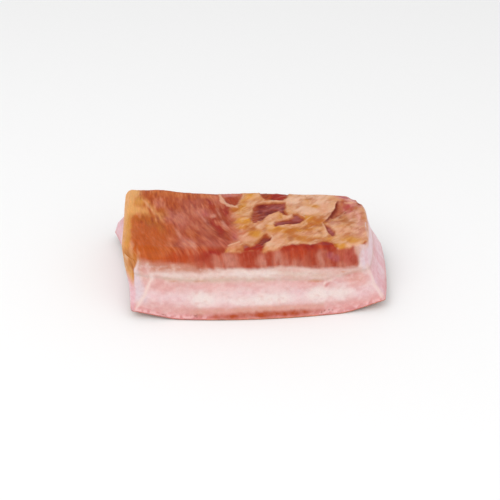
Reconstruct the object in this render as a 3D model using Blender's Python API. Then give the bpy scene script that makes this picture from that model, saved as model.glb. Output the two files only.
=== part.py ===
"""Shoulder bacon: one slab of smoked pork shoulder that lies on its rind.

Three layers run right through the slab: the thick outer fat that carries the rind, a band of
inner fat, and the smoked lean on top. Each layer is a block cut into cells whose points are
moved onto the slab, between two curved sheets that part it from its neighbours.

Metres, +Z up, +X along the slab to the right, +Y to its back. The origin lies under the middle
of the slab's box, on the surface that the rind rests on.
"""
import bmesh
import bpy
import numpy as np

# ---- Outer form ------------------------------------------------------------------------------

# The plan of the slab at five heights. Corners, their radii and the bows of the sides run
# anticlockwise: front left, front right, back right, back left; front, right, back, left.
OUTLINES = (
    {"height": 0.000,
     "corners": ((-0.0922, -0.0588), (0.1098, -0.0405), (0.1140, 0.0495), (-0.1215, 0.0605)),
     "radii": (0.0025, 0.0025, 0.0100, 0.0075),
     "bows": (0.0085, 0.0026, 0.0030, -0.0055)},
    {"height": 0.016,
     "corners": ((-0.0932, -0.0523), (0.1005, -0.0335), (0.1085, 0.0470), (-0.1180, 0.0560)),
     "radii": (0.0120, 0.0030, 0.0120, 0.0100),
     "bows": (0.0075, 0.0030, 0.0030, -0.0040)},
    {"height": 0.031,
     "corners": ((-0.0978, -0.0455), (0.0955, -0.0280), (0.1020, 0.0455), (-0.1085, 0.0540)),
     "radii": (0.0210, 0.0040, 0.0150, 0.0110),
     "bows": (0.0070, 0.0030, 0.0020, 0.0000)},
    {"height": 0.040,
     "corners": ((-0.0992, -0.0450), (0.0935, -0.0285), (0.0985, 0.0465), (-0.1068, 0.0525)),
     "radii": (0.0220, 0.0050, 0.0160, 0.0090),
     "bows": (0.0060, 0.0025, 0.0010, 0.0000)},
    {"height": 0.054,
     "corners": ((-0.1000, -0.0430), (0.0925, -0.0285), (0.0945, 0.0485), (-0.1068, 0.0512)),
     "radii": (0.0190, 0.0070, 0.0170, 0.0075),
     "bows": (0.0040, 0.0015, 0.0000, 0.0000)},
)

TOP_HALF_LENGTH = 0.098      # from the middle of the top to its short sides
TOP_HALF_DEPTH = 0.043       # from the middle of the top to its long sides
SHOULDER_RADII = (0.0090, 0.0030, 0.0050, 0.0060)   # edge of the top, at the four corners
RIND_EDGE_RADIUS = 0.0015    # edge of the underside

TOP_HEIGHT = 0.0540          # middle of the smoked side
BACK_LEFT_RISE = 0.0024      # the muscle stands higher in the back left corner
RISE_START, RISE_RUN = 0.050, 0.022   # left of the middle
RISE_FRONT = -0.2            # share of the half depth where the rise begins
FRONT_LEFT_FALL = 0.0012     # and sags in the front left corner
FALL_START, FALL_RUN = 0.020, 0.060
FALL_BACK, FALL_SHARE = -0.2, 0.9     # where the sag begins, and over which share it grows
SWELL = 0.0006               # slow waves over the smoked side
SWELL_LENGTHS = (0.062, 0.047)
SWELL_PHASES = (1.0, 0.6)
BACK_HUMP = 0.0019           # a hump at the back edge
HUMP_X, HUMP_HALF_LENGTH = 0.030, 0.015
HUMP_START, HUMP_SHARE = 0.50, 0.40   # share of the half depth where it begins, and its slope

# A ledge near the right end, where a flap of the smoked skin stops short. It leaves the back
# edge square and bends to the left as it comes forward.
LEDGE_DROP = 0.0036
LEDGE_X, LEDGE_Y = 0.0774, 0.0480
LEDGE_BEND = 0.190           # twice the radius of that bend
LEDGE_FRONT, LEDGE_SHARE = -0.35, 0.5   # where it begins, and over which share it deepens
LEDGE_WIDTH = 0.0030
LEDGE_RECOVERY = 0.35        # share of the drop that is won back towards the right end
LEDGE_RECOVERY_START, LEDGE_RECOVERY_RUN = 0.006, 0.012
FOLD_END, FOLD_RUN = 0.093, 0.007     # at the back edge a fold fills the drop up to here
FOLD_START, FOLD_SHARE = 0.58, 0.14   # share of the half depth where it begins, and its slope

# The rind lies flat in the middle and curls up at both ends.
CURL_TOP = 0.031             # height at which the curl has died out
LEFT_CURL, LEFT_CURL_START, LEFT_CURL_RUN = 0.0063, 0.050, 0.046
RIGHT_CURL, RIGHT_CURL_START, RIGHT_CURL_RUN = 0.0094, 0.070, 0.050

# ---- Layers ----------------------------------------------------------------------------------

# Heights of the two sheets at places along the slab: the outer fat lies below the seam, the
# lean above its floor and the inner fat between them.
SEAM_PATH = ((-0.090, 0.0310), (-0.050, 0.0292), (0.010, 0.0290), (0.056, 0.0264), (0.096, 0.0298))
LEAN_FLOOR_PATH = ((-0.085, 0.0430), (-0.035, 0.0388), (0.030, 0.0386), (0.090, 0.0345))
SHEET_WAVE = 0.0004          # slow waves of both sheets from front to back
WAVE_LENGTHS = (0.043, 0.057)
SEAM_WAVE_PHASE, SEAM_WAVE_TURNS = 0.8, 1.3   # the seam's wave runs out of step with the other
PINCH_START = 0.915          # share of the half length where the fat starts to wrap the right end
PINCH_RUN = 0.055
PINCHED_LEAN = 0.0025        # lean left over the fat at that end
LAYER_GAP = 0.0003           # clearance between two layers

CELLS_X, CELLS_Y = 36, 16    # shared by all the layers, so that their sheets match
EDGE_CROWDING = 0.86         # 0 spaces the cells evenly, 1 crowds them most towards the sides
LAYERS = (
    {"name": "outer_fat_layer", "cells_z": 5, "color": (0.839, 0.610, 0.571), "roughness": 0.46},
    {"name": "inner_fat_layer", "cells_z": 2, "color": (0.863, 0.694, 0.610), "roughness": 0.44},
    {"name": "lean_layer", "cells_z": 4, "color": (0.479, 0.123, 0.060), "roughness": 0.52},
)

ARC_SHARE = 1.0 - np.sqrt(0.5)   # of its radius, how far a round corner's middle stands in


def smooth(t):
    """Ease from 0 to 1 while t runs from 0 to 1."""
    t = np.clip(t, 0.0, 1.0)
    return t * t * (3.0 - 2.0 * t)


def station(t):
    """Move evenly spaced numbers from -1 to 1 towards both ends, where the form is round."""
    return (1.0 - EDGE_CROWDING) * t + EDGE_CROWDING * np.sin(0.5 * np.pi * t)


def outline_values(key, height):
    """One entry of the outlines, read between their heights: an array with height's shape first."""
    levels = [outline["height"] for outline in OUTLINES]
    table = np.array([outline[key] for outline in OUTLINES])
    columns = table.reshape(len(levels), -1).T
    values = np.stack([np.interp(height, levels, column) for column in columns], axis=-1)
    return values.reshape(height.shape + table.shape[1:])


def side_point(start, end, start_radius, end_radius, bow, share):
    """Point of a bowed side that runs from the middle of one round corner to that of the next."""
    run = end - start
    length = np.linalg.norm(run, axis=-1)
    along = run / length[..., None]
    outward = np.stack([along[..., 1], -along[..., 0]], axis=-1)
    travel = ARC_SHARE * start_radius + share * (length - ARC_SHARE * (start_radius + end_radius))
    into_start = np.clip(start_radius - travel, 0.0, None)
    into_end = np.clip(end_radius - (length - travel), 0.0, None)
    inset = start_radius - np.sqrt(np.maximum(start_radius ** 2 - into_start ** 2, 0.0))
    inset += end_radius - np.sqrt(np.maximum(end_radius ** 2 - into_end ** 2, 0.0))
    reach = bow * 4.0 * share * (1.0 - share) - inset
    return start + along * travel[..., None] + outward * reach[..., None]


def plan_point(u, v, height):
    """Plan position of the point at u, v (each -1 to 1), at a height: a patch between four sides."""
    corners = outline_values("corners", height)
    radii = outline_values("radii", height)
    bows = outline_values("bows", height)
    across, deep = 0.5 * (u + 1.0), 0.5 * (v + 1.0)
    zero, one = np.zeros_like(u), np.ones_like(u)

    def side(index, share):
        following = (index + 1) % 4
        return side_point(corners[..., index, :], corners[..., following, :],
                          radii[..., index], radii[..., following], bows[..., index], share)

    # The two sides that meet in a corner are drawn to one shared point.
    meeting = [0.5 * (side(index, zero) + side(index - 1, one)) for index in range(4)]

    def closed_side(index, share):
        start_error = meeting[index] - side(index, zero)
        end_error = meeting[(index + 1) % 4] - side(index, one)
        share_column = share[..., None]
        correction = start_error * (1.0 - share_column) ** 4 + end_error * share_column ** 4
        return side(index, share) + correction

    front, right = closed_side(0, across), closed_side(1, deep)
    back, left = closed_side(2, 1.0 - across), closed_side(3, 1.0 - deep)
    across, deep = across[..., None], deep[..., None]
    front_row = meeting[0] * (1.0 - across) + meeting[1] * across
    back_row = meeting[3] * (1.0 - across) + meeting[2] * across
    return (front * (1.0 - deep) + back * deep + left * (1.0 - across) + right * across
            - front_row * (1.0 - deep) - back_row * deep)


def corner_blend(values, u, v):
    """Value at u, v of four corner values, front left first and anticlockwise."""
    across, deep = 0.5 * (u + 1.0), 0.5 * (v + 1.0)
    front = values[0] * (1.0 - across) + values[1] * across
    back = values[3] * (1.0 - across) + values[2] * across
    return front * (1.0 - deep) + back * deep


def edge_fall(u, v, radius):
    """Fall of a face towards its edge, along a quarter circle of the given radius."""
    from_side = np.clip(radius - (1.0 - np.abs(u)) * TOP_HALF_LENGTH, 0.0, None)
    from_front = np.clip(radius - (1.0 - np.abs(v)) * TOP_HALF_DEPTH, 0.0, None)
    reach = np.minimum(np.hypot(from_side, from_front), radius)
    return radius - np.sqrt(radius ** 2 - reach ** 2)


def top_sheet(u, v):
    """Height of the smoked side, its edge rounded."""
    x, y = u * TOP_HALF_LENGTH, v * TOP_HALF_DEPTH
    height = np.full_like(x, TOP_HEIGHT)
    height += BACK_LEFT_RISE * smooth((-x - RISE_START) / RISE_RUN) * smooth(v - RISE_FRONT)
    height -= (FRONT_LEFT_FALL * smooth((-x - FALL_START) / FALL_RUN)
               * smooth((FALL_BACK - v) / FALL_SHARE))
    height += (SWELL * np.sin(2.0 * np.pi * x / SWELL_LENGTHS[0] + SWELL_PHASES[0])
               * np.cos(2.0 * np.pi * y / SWELL_LENGTHS[1] + SWELL_PHASES[1]))
    past_ledge = x - LEDGE_X + (LEDGE_Y - y) ** 2 / LEDGE_BEND
    drop = LEDGE_DROP * smooth(past_ledge / LEDGE_WIDTH) * smooth((v - LEDGE_FRONT) / LEDGE_SHARE)
    won_back = smooth((past_ledge - LEDGE_RECOVERY_START) / LEDGE_RECOVERY_RUN)
    fold = smooth((FOLD_END - x) / FOLD_RUN) * smooth((v - FOLD_START) / FOLD_SHARE)
    height -= drop * (1.0 - LEDGE_RECOVERY * won_back) * (1.0 - fold)
    hump_along = np.exp(-((x - HUMP_X) / HUMP_HALF_LENGTH) ** 2)
    height += BACK_HUMP * hump_along * smooth((v - HUMP_START) / HUMP_SHARE)
    return height - edge_fall(u, v, corner_blend(SHOULDER_RADII, u, v))


def path_height(path, x):
    """Height at x of a path through places and heights, eased from each place to the next."""
    places, heights = np.array(path).T
    height = np.full_like(x, heights[0])
    for start, end, rise in zip(places, places[1:], np.diff(heights)):
        height += rise * smooth((x - start) / (end - start))
    return height


def lean_floor(u, v):
    """Height of the sheet between the lean and the inner fat, which wraps up the right end."""
    x = u * TOP_HALF_LENGTH
    height = path_height(LEAN_FLOOR_PATH, x)
    height += SHEET_WAVE * np.sin(2.0 * np.pi * x / WAVE_LENGTHS[0]) * np.cos(np.pi * v)
    pinch = smooth((u - PINCH_START) / PINCH_RUN)
    return height * (1.0 - pinch) + (top_sheet(u, v) - PINCHED_LEAN) * pinch


def seam_sheet(u, v):
    """Height of the sheet between the inner and the outer fat."""
    x = u * TOP_HALF_LENGTH
    wave = (SHEET_WAVE * np.sin(2.0 * np.pi * x / WAVE_LENGTHS[1] + SEAM_WAVE_PHASE)
            * np.cos(SEAM_WAVE_TURNS * np.pi * v))
    return path_height(SEAM_PATH, x) + wave


def rind_sheet(u, v):
    """Height of the underside before its ends curl up."""
    return edge_fall(u, v, np.full_like(u, RIND_EDGE_RADIUS))


def curl(x):
    """How far the rind's ends stand up from the flat middle."""
    left = LEFT_CURL * smooth((-x - LEFT_CURL_START) / LEFT_CURL_RUN)
    right = RIGHT_CURL * smooth((x - RIGHT_CURL_START) / RIGHT_CURL_RUN)
    return left + right


def slab_point(u, v, height):
    """Point of the slab at u, v and a height, with the curl of the rind's ends."""
    plan = plan_point(u, v, height)
    lift = curl(plan[..., 0]) * np.clip(1.0 - height / CURL_TOP, 0.0, 1.0)
    return np.concatenate([plan, (height + lift)[..., None]], axis=-1)


# ---- Building --------------------------------------------------------------------------------

def cell_block(cells):
    """A cube from -1 to 1 whose faces are cut into the given number of cells along each axis."""
    block = bmesh.new()
    bmesh.ops.create_cube(block, size=2.0)
    for axis, count in enumerate(cells):
        across = [other for other in range(3) if other != axis]
        along = []
        for edge in block.edges:
            run = edge.verts[1].co - edge.verts[0].co
            if all(abs(run[other]) < 1e-6 for other in across):
                along.append(edge)
        bmesh.ops.subdivide_edges(block, edges=along, cuts=count - 1, use_grid_fill=True)
    return block


def split_cells(mesh):
    """Split each cell along its shorter diagonal, so that facing sheets fold alike."""
    cells = bmesh.new()
    cells.from_mesh(mesh)
    bmesh.ops.triangulate(cells, faces=cells.faces, quad_method="SHORT_EDGE")
    cells.to_mesh(mesh)
    cells.free()


def layer_material(name, color, roughness):
    material = bpy.data.materials.new(name)
    material.use_nodes = True
    shader = material.node_tree.nodes["Principled BSDF"]
    shader.inputs["Base Color"].default_value = (*color, 1.0)
    shader.inputs["Roughness"].default_value = roughness
    shader.inputs["Metallic"].default_value = 0.0
    return material


def build_layer(collection, layer, lower_sheet, upper_sheet):
    """One layer of the slab, from its lower to its upper sheet."""
    block = cell_block((CELLS_X, CELLS_Y, layer["cells_z"]))
    mesh = bpy.data.meshes.new(layer["name"])
    block.to_mesh(mesh)
    block.free()

    raw = np.empty(len(mesh.vertices) * 3)
    mesh.vertices.foreach_get("co", raw)
    raw = raw.reshape(-1, 3)
    u, v, share = station(raw[:, 0]), station(raw[:, 1]), 0.5 * (raw[:, 2] + 1.0)
    lower, upper = lower_sheet(u, v), upper_sheet(u, v)
    points = slab_point(u, v, lower + share * (upper - lower))
    mesh.vertices.foreach_set("co", points.ravel())
    split_cells(mesh)
    mesh.shade_smooth()
    mesh.set_sharp_from_angle(angle=np.radians(40.0))
    mesh.materials.append(layer_material(layer["name"], layer["color"], layer["roughness"]))
    mesh.update()

    piece = bpy.data.objects.new(layer["name"], mesh)
    collection.objects.link(piece)
    return piece


def centre_pieces(pieces):
    """Move the meshes so that the origin is under the middle of their common box."""
    corners = np.array([corner for piece in pieces for corner in piece.bound_box])
    lowest, highest = corners.min(axis=0), corners.max(axis=0)
    shift = np.array([-0.5 * (lowest[0] + highest[0]), -0.5 * (lowest[1] + highest[1]), -lowest[2]])
    for piece in pieces:
        flat = np.empty(len(piece.data.vertices) * 3)
        piece.data.vertices.foreach_get("co", flat)
        piece.data.vertices.foreach_set("co", (flat.reshape(-1, 3) + shift).ravel())
        piece.data.update()


def build_slab():
    for item in list(bpy.data.objects):
        bpy.data.objects.remove(item, do_unlink=True)
    collection = bpy.data.collections.new("shoulder_bacon")
    bpy.context.scene.collection.children.link(collection)

    half_gap = 0.5 * LAYER_GAP
    sheets = (
        (rind_sheet, lambda u, v: seam_sheet(u, v) - half_gap),
        (lambda u, v: seam_sheet(u, v) + half_gap, lambda u, v: lean_floor(u, v) - half_gap),
        (lambda u, v: lean_floor(u, v) + half_gap, top_sheet),
    )
    pieces = [build_layer(collection, layer, lower, upper)
              for layer, (lower, upper) in zip(LAYERS, sheets)]
    bpy.context.view_layer.update()
    centre_pieces(pieces)


build_slab()
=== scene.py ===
# Shoulder bacon: the finish of a smoked slab that lies on its rind.
# The slab's skin is worked out once, in millimetres, and cut into its three layers.
import bpy
import numpy as np
from mathutils import Matrix, Vector


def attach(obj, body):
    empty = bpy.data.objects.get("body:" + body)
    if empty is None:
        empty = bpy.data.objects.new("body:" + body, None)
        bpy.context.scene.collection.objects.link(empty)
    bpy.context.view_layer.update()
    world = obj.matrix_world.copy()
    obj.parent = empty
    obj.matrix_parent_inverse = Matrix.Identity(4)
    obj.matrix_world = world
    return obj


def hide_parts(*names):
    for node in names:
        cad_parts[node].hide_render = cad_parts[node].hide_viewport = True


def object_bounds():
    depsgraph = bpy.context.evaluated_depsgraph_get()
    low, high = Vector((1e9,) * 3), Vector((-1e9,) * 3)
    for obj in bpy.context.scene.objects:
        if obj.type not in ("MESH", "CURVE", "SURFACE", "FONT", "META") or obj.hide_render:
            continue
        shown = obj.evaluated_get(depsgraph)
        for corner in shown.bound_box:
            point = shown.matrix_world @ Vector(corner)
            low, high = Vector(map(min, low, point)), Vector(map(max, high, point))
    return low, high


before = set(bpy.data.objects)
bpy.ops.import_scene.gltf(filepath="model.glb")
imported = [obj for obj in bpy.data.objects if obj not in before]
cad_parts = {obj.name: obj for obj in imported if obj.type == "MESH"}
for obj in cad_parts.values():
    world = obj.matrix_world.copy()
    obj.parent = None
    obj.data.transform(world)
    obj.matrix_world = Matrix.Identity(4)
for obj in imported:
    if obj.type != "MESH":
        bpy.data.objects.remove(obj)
cadLow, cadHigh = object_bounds()
mm = 0.001

# numbers for the outer form, millimetres
slabForm = {
    "heights": (0.0, 16.0, 31.0, 40.0, 54.0),
    "corners": (  # front left, front right, back right, back left at each height
        ((-92.2, -58.8), (109.8, -40.5), (114.0, 49.5), (-121.5, 60.5)),
        ((-93.2, -52.3), (100.5, -33.5), (108.5, 47.0), (-118.0, 56.0)),
        ((-97.8, -45.5), (95.5, -28.0), (102.0, 45.5), (-108.5, 54.0)),
        ((-99.2, -45.0), (93.5, -28.5), (98.5, 46.5), (-106.8, 52.5)),
        ((-100.0, -43.0), (92.5, -28.5), (94.5, 48.5), (-106.8, 51.2))),
    "radii": ((2.5, 2.5, 10.0, 7.5), (12.0, 3.0, 12.0, 10.0), (21.0, 4.0, 15.0, 11.0),
              (22.0, 5.0, 16.0, 9.0), (19.0, 7.0, 17.0, 7.5)),
    "bows": ((8.5, 2.6, 3.0, -5.5), (7.5, 3.0, 3.0, -4.0), (7.0, 3.0, 2.0, 0.0),
             (6.0, 2.5, 1.0, 0.0), (4.0, 1.5, 0.0, 0.0)),
    "topHalf": (98.0, 43.0), "shoulderRadii": (9.0, 3.0, 5.0, 6.0), "rindEdge": 1.5,
    # a run is (start, length), along in millimetres and deep as a share of the half depth
    "topHeight": 54.0, "backLeftRise": 2.4, "riseAlong": (50.0, 22.0), "riseDeep": (-0.2, 1.0),
    "frontLeftFall": 1.2, "fallAlong": (20.0, 60.0), "fallDeep": (0.2, 0.9),
    "backHump": 1.9, "humpPlace": 30.0, "humpHalf": 15.0, "humpDeep": (0.5, 0.4),
    "swell": 0.6, "swellLengths": (62.0, 47.0), "swellTurns": (1.0, 0.6),
    "ledgeDrop": 3.6, "ledgePlace": (77.4, 48.0), "ledgeBend": 190.0, "ledgeWidth": 1.6,
    "ledgeDeep": (-0.35, 0.5), "ledgeFill": 0.35, "fillAlong": (6.0, 12.0),
    "torn": 1.3, "tornLength": 6.0, "foldAlong": (-93.0, 7.0), "foldDeep": (0.58, 0.14),
    "curlTop": 31.0, "leftCurl": (6.3, 50.0, 46.0), "rightCurl": (9.4, 70.0, 50.0),
    "seamPath": ((-90, 31.0), (-50, 29.2), (10, 29.0), (56, 26.4), (96, 29.8)),
    "leanFloorPath": ((-85, 43.0), (-35, 38.8), (30, 38.6), (90, 34.5)),
    "sheetWave": 0.4, "waveLengths": (43.0, 57.0),
    "pinch": (0.915, 0.055), "pinchedLean": 2.5,
}
skinGrid = {"across": 400, "deep": 180, "outerRows": 44, "innerRows": 14, "leanRows": 19,
            "crowding": 0.40, "underRings": 16, "ringCrowding": 2.4, "hiddenRings": 4, "hiddenGap": 0.12}


def ease(t):
    # smooth step: 3t^2 - 2t^3 between 0 and 1
    t = np.clip(t, 0.0, 1.0)
    return t * t * (3.0 - 2.0 * t)


def ramp(value, start, run):
    # 0 up to the start and 1 from the end of the run, eased between
    return ease((value - start) / run)


def ridge(value, middle, width):
    # bell curve, 1 at the middle: e^(-t^2), with t in widths from the middle
    return np.exp(-((value - middle) / width) ** 2)


hashFactors = np.array((374761393, 668265263, 2246822519, 3266489917), np.uint32)   # large odd numbers
largestHash = 4294967295.0
octaveShift = 17.3   # keeps the octaves' lattices from lining up


def latticeNoise(points, seed):
    # random values on the whole-number lattice, eased between the eight corners, -1 to 1
    cell = np.floor(points).astype(np.int64)
    part = points - cell
    part = part * part * (3.0 - 2.0 * part)
    total = np.zeros(len(points))
    for corner in range(8):
        step = np.array([(corner >> axis) & 1 for axis in range(3)])
        c = (cell + step).astype(np.uint32)
        h = c[:, 0] * hashFactors[0] + c[:, 1] * hashFactors[1] + c[:, 2] * hashFactors[2]
        h = h + np.uint32(seed) * hashFactors[3]
        h = (h ^ (h >> np.uint32(15))) * hashFactors[2]
        h = (h ^ (h >> np.uint32(13))) * hashFactors[3]
        h = h ^ (h >> np.uint32(16))
        weight = np.prod(np.where(step, part, 1.0 - part), axis=1)
        total += weight * (h / largestHash)
    return 2.0 * total - 1.0


def roughNoise(points, size, seed, octaves=3):
    # sum of lattice noises, each half the size and half the strength of the last
    size = np.array(size, float)
    total, strength, whole = 0.0, 1.0, 0.0
    for octave in range(octaves):
        place = points / size * 2.0 ** octave + octaveShift * octave
        total = total + strength * latticeNoise(place, seed + octave)
        whole += strength
        strength *= 0.5
    return total / whole


def formValues(key, height):
    # table entry read between the form's heights
    table = np.array(slabForm[key], float)
    flat = table.reshape(len(table), -1).T
    values = np.stack([np.interp(height, slabForm["heights"], column) for column in flat], axis=-1)
    return values.reshape(height.shape + table.shape[1:])


def sidePoint(start, end, startRadius, endRadius, bow, share):
    # straight run between two corners, bowed by 4s(1-s) and set in by a circle near each end
    cornerShare = 1.0 - np.sqrt(0.5)
    run = end - start
    length = np.linalg.norm(run, axis=-1)
    along = run / length[..., None]
    outward = np.stack([along[..., 1], -along[..., 0]], axis=-1)
    travel = cornerShare * startRadius + share * (length - cornerShare * (startRadius + endRadius))
    intoStart = np.clip(startRadius - travel, 0.0, None)
    intoEnd = np.clip(endRadius - (length - travel), 0.0, None)
    inset = startRadius - np.sqrt(np.maximum(startRadius ** 2 - intoStart ** 2, 0.0))
    inset += endRadius - np.sqrt(np.maximum(endRadius ** 2 - intoEnd ** 2, 0.0))
    reach = bow * 4.0 * share * (1.0 - share) - inset
    return start + along * travel[..., None] + outward * reach[..., None]


def planPoint(u, v, height):
    # patch between four sides: front and back blended by v, left and right by u, less the corners
    corners, radii, bows = (formValues(key, height) for key in ("corners", "radii", "bows"))
    across, deep = 0.5 * (u + 1.0), 0.5 * (v + 1.0)
    zero, one = np.zeros_like(u), np.ones_like(u)

    def side(i, share):
        j = (i + 1) % 4
        ends = corners[..., i, :], corners[..., j, :]
        return sidePoint(*ends, radii[..., i], radii[..., j], bows[..., i], share)

    meeting = [0.5 * (side(i, zero) + side(i - 1, one)) for i in range(4)]

    def closedSide(i, share):
        s = share[..., None]
        startError = meeting[i] - side(i, zero)
        endError = meeting[(i + 1) % 4] - side(i, one)
        return side(i, share) + startError * (1.0 - s) ** 4 + endError * s ** 4

    front, right = closedSide(0, across), closedSide(1, deep)
    back, left = closedSide(2, 1.0 - across), closedSide(3, 1.0 - deep)
    a, d = across[..., None], deep[..., None]
    frontRow = meeting[0] * (1.0 - a) + meeting[1] * a
    backRow = meeting[3] * (1.0 - a) + meeting[2] * a
    return front * (1.0 - d) + back * d + left * (1.0 - a) + right * a - frontRow * (1.0 - d) - backRow * d


def edgeFall(u, v, radius):
    # fall of a face towards its edge, along a quarter circle
    halfLength, halfDepth = slabForm["topHalf"]
    fromSide = np.clip(radius - (1.0 - np.abs(u)) * halfLength, 0.0, None)
    fromFront = np.clip(radius - (1.0 - np.abs(v)) * halfDepth, 0.0, None)
    reach = np.minimum(np.hypot(fromSide, fromFront), radius)
    return radius - np.sqrt(radius ** 2 - reach ** 2)


def ledgeDistance(x, y):
    # millimetres past the ledge, whose line leaves the back edge square and bends left
    placeX, placeY = slabForm["ledgePlace"]
    torn = roughNoise(np.stack([y, 0.2 * x, 0.0 * y], axis=1), slabForm["tornLength"], seed=61)
    return x - placeX + (placeY - y) ** 2 / slabForm["ledgeBend"] + slabForm["torn"] * torn


def shoulderRadius(u, v):
    # radius of the top's edge, blended between the four corners
    r = slabForm["shoulderRadii"]
    a, d = 0.5 * (u + 1.0), 0.5 * (v + 1.0)
    return (r[0] * (1.0 - a) + r[1] * a) * (1.0 - d) + (r[3] * (1.0 - a) + r[2] * a) * d


def foldShare(x, v):
    # 1 where the fold at the back edge fills the ledge's drop
    return ramp(-x, *slabForm["foldAlong"]) * ramp(v, *slabForm["foldDeep"])


def topSheet(u, v):
    # height of the smoked side: a level, a rise, a fall, slow waves, the ledge, a hump, the round edge
    x, y = u * slabForm["topHalf"][0], v * slabForm["topHalf"][1]
    rise = ramp(-x, *slabForm["riseAlong"]) * ramp(v, *slabForm["riseDeep"])
    fall = ramp(-x, *slabForm["fallAlong"]) * ramp(-v, *slabForm["fallDeep"])
    height = slabForm["topHeight"] + slabForm["backLeftRise"] * rise - slabForm["frontLeftFall"] * fall
    turnX = 2.0 * np.pi * x / slabForm["swellLengths"][0] + slabForm["swellTurns"][0]
    turnY = 2.0 * np.pi * y / slabForm["swellLengths"][1] + slabForm["swellTurns"][1]
    height += slabForm["swell"] * np.sin(turnX) * np.cos(turnY)
    past = ledgeDistance(x, y)
    drop = slabForm["ledgeDrop"] * ramp(past, 0.0, slabForm["ledgeWidth"]) * ramp(v, *slabForm["ledgeDeep"])
    drop *= 1.0 - slabForm["ledgeFill"] * ramp(past, *slabForm["fillAlong"])
    height -= drop * (1.0 - foldShare(x, v))
    hump = ridge(x, slabForm["humpPlace"], slabForm["humpHalf"]) * ramp(v, *slabForm["humpDeep"])
    height += slabForm["backHump"] * hump
    return height - edgeFall(u, v, shoulderRadius(u, v))


def pathHeight(path, x):
    # eased from each place of the path to the next
    places, heights = np.array(path, float).T
    height = np.full_like(x, heights[0])
    for start, end, rise in zip(places, places[1:], np.diff(heights)):
        height += rise * ramp(x, start, end - start)
    return height


def leanFloor(u, v):
    # sheet under the lean; at the right end it climbs to just under the top
    x = u * slabForm["topHalf"][0]
    height = pathHeight(slabForm["leanFloorPath"], x)
    height += slabForm["sheetWave"] * np.sin(2.0 * np.pi * x / slabForm["waveLengths"][0]) * np.cos(np.pi * v)
    pinch = ramp(u, *slabForm["pinch"])
    return height * (1.0 - pinch) + (topSheet(u, v) - slabForm["pinchedLean"]) * pinch


def seamSheet(u, v):
    # sheet between the inner and the outer fat
    x = u * slabForm["topHalf"][0]
    wave = np.sin(2.0 * np.pi * x / slabForm["waveLengths"][1] + 0.8) * np.cos(1.3 * np.pi * v)
    return pathHeight(slabForm["seamPath"], x) + slabForm["sheetWave"] * wave


def rindSheet(u, v):
    # underside before its ends curl up
    return edgeFall(u, v, np.full_like(u, slabForm["rindEdge"]))


def slabPoint(u, v, height):
    # plan at this height, lifted by the curl of the rind's ends, which dies out upwards
    plan = planPoint(u, v, height)
    leftRise, leftStart, leftRun = slabForm["leftCurl"]
    rightRise, rightStart, rightRun = slabForm["rightCurl"]
    x = plan[..., 0]
    lift = leftRise * ramp(-x, leftStart, leftRun) + rightRise * ramp(x, rightStart, rightRun)
    lift = lift * np.clip(1.0 - height / slabForm["curlTop"], 0.0, 1.0)
    return np.concatenate([plan, (height + lift)[..., None]], axis=-1)


def crowd(t):
    # evenly spaced -1..1 drawn towards both ends by a sine
    k = skinGrid["crowding"]
    return (1.0 - k) * t + k * np.sin(0.5 * np.pi * t)


def ringCells(outer, inner):
    # cells between two closed loops of points, facing up where the loops run anticlockwise
    return np.stack([outer, np.roll(outer, -1), np.roll(inner, -1), inner], axis=-1)


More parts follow.
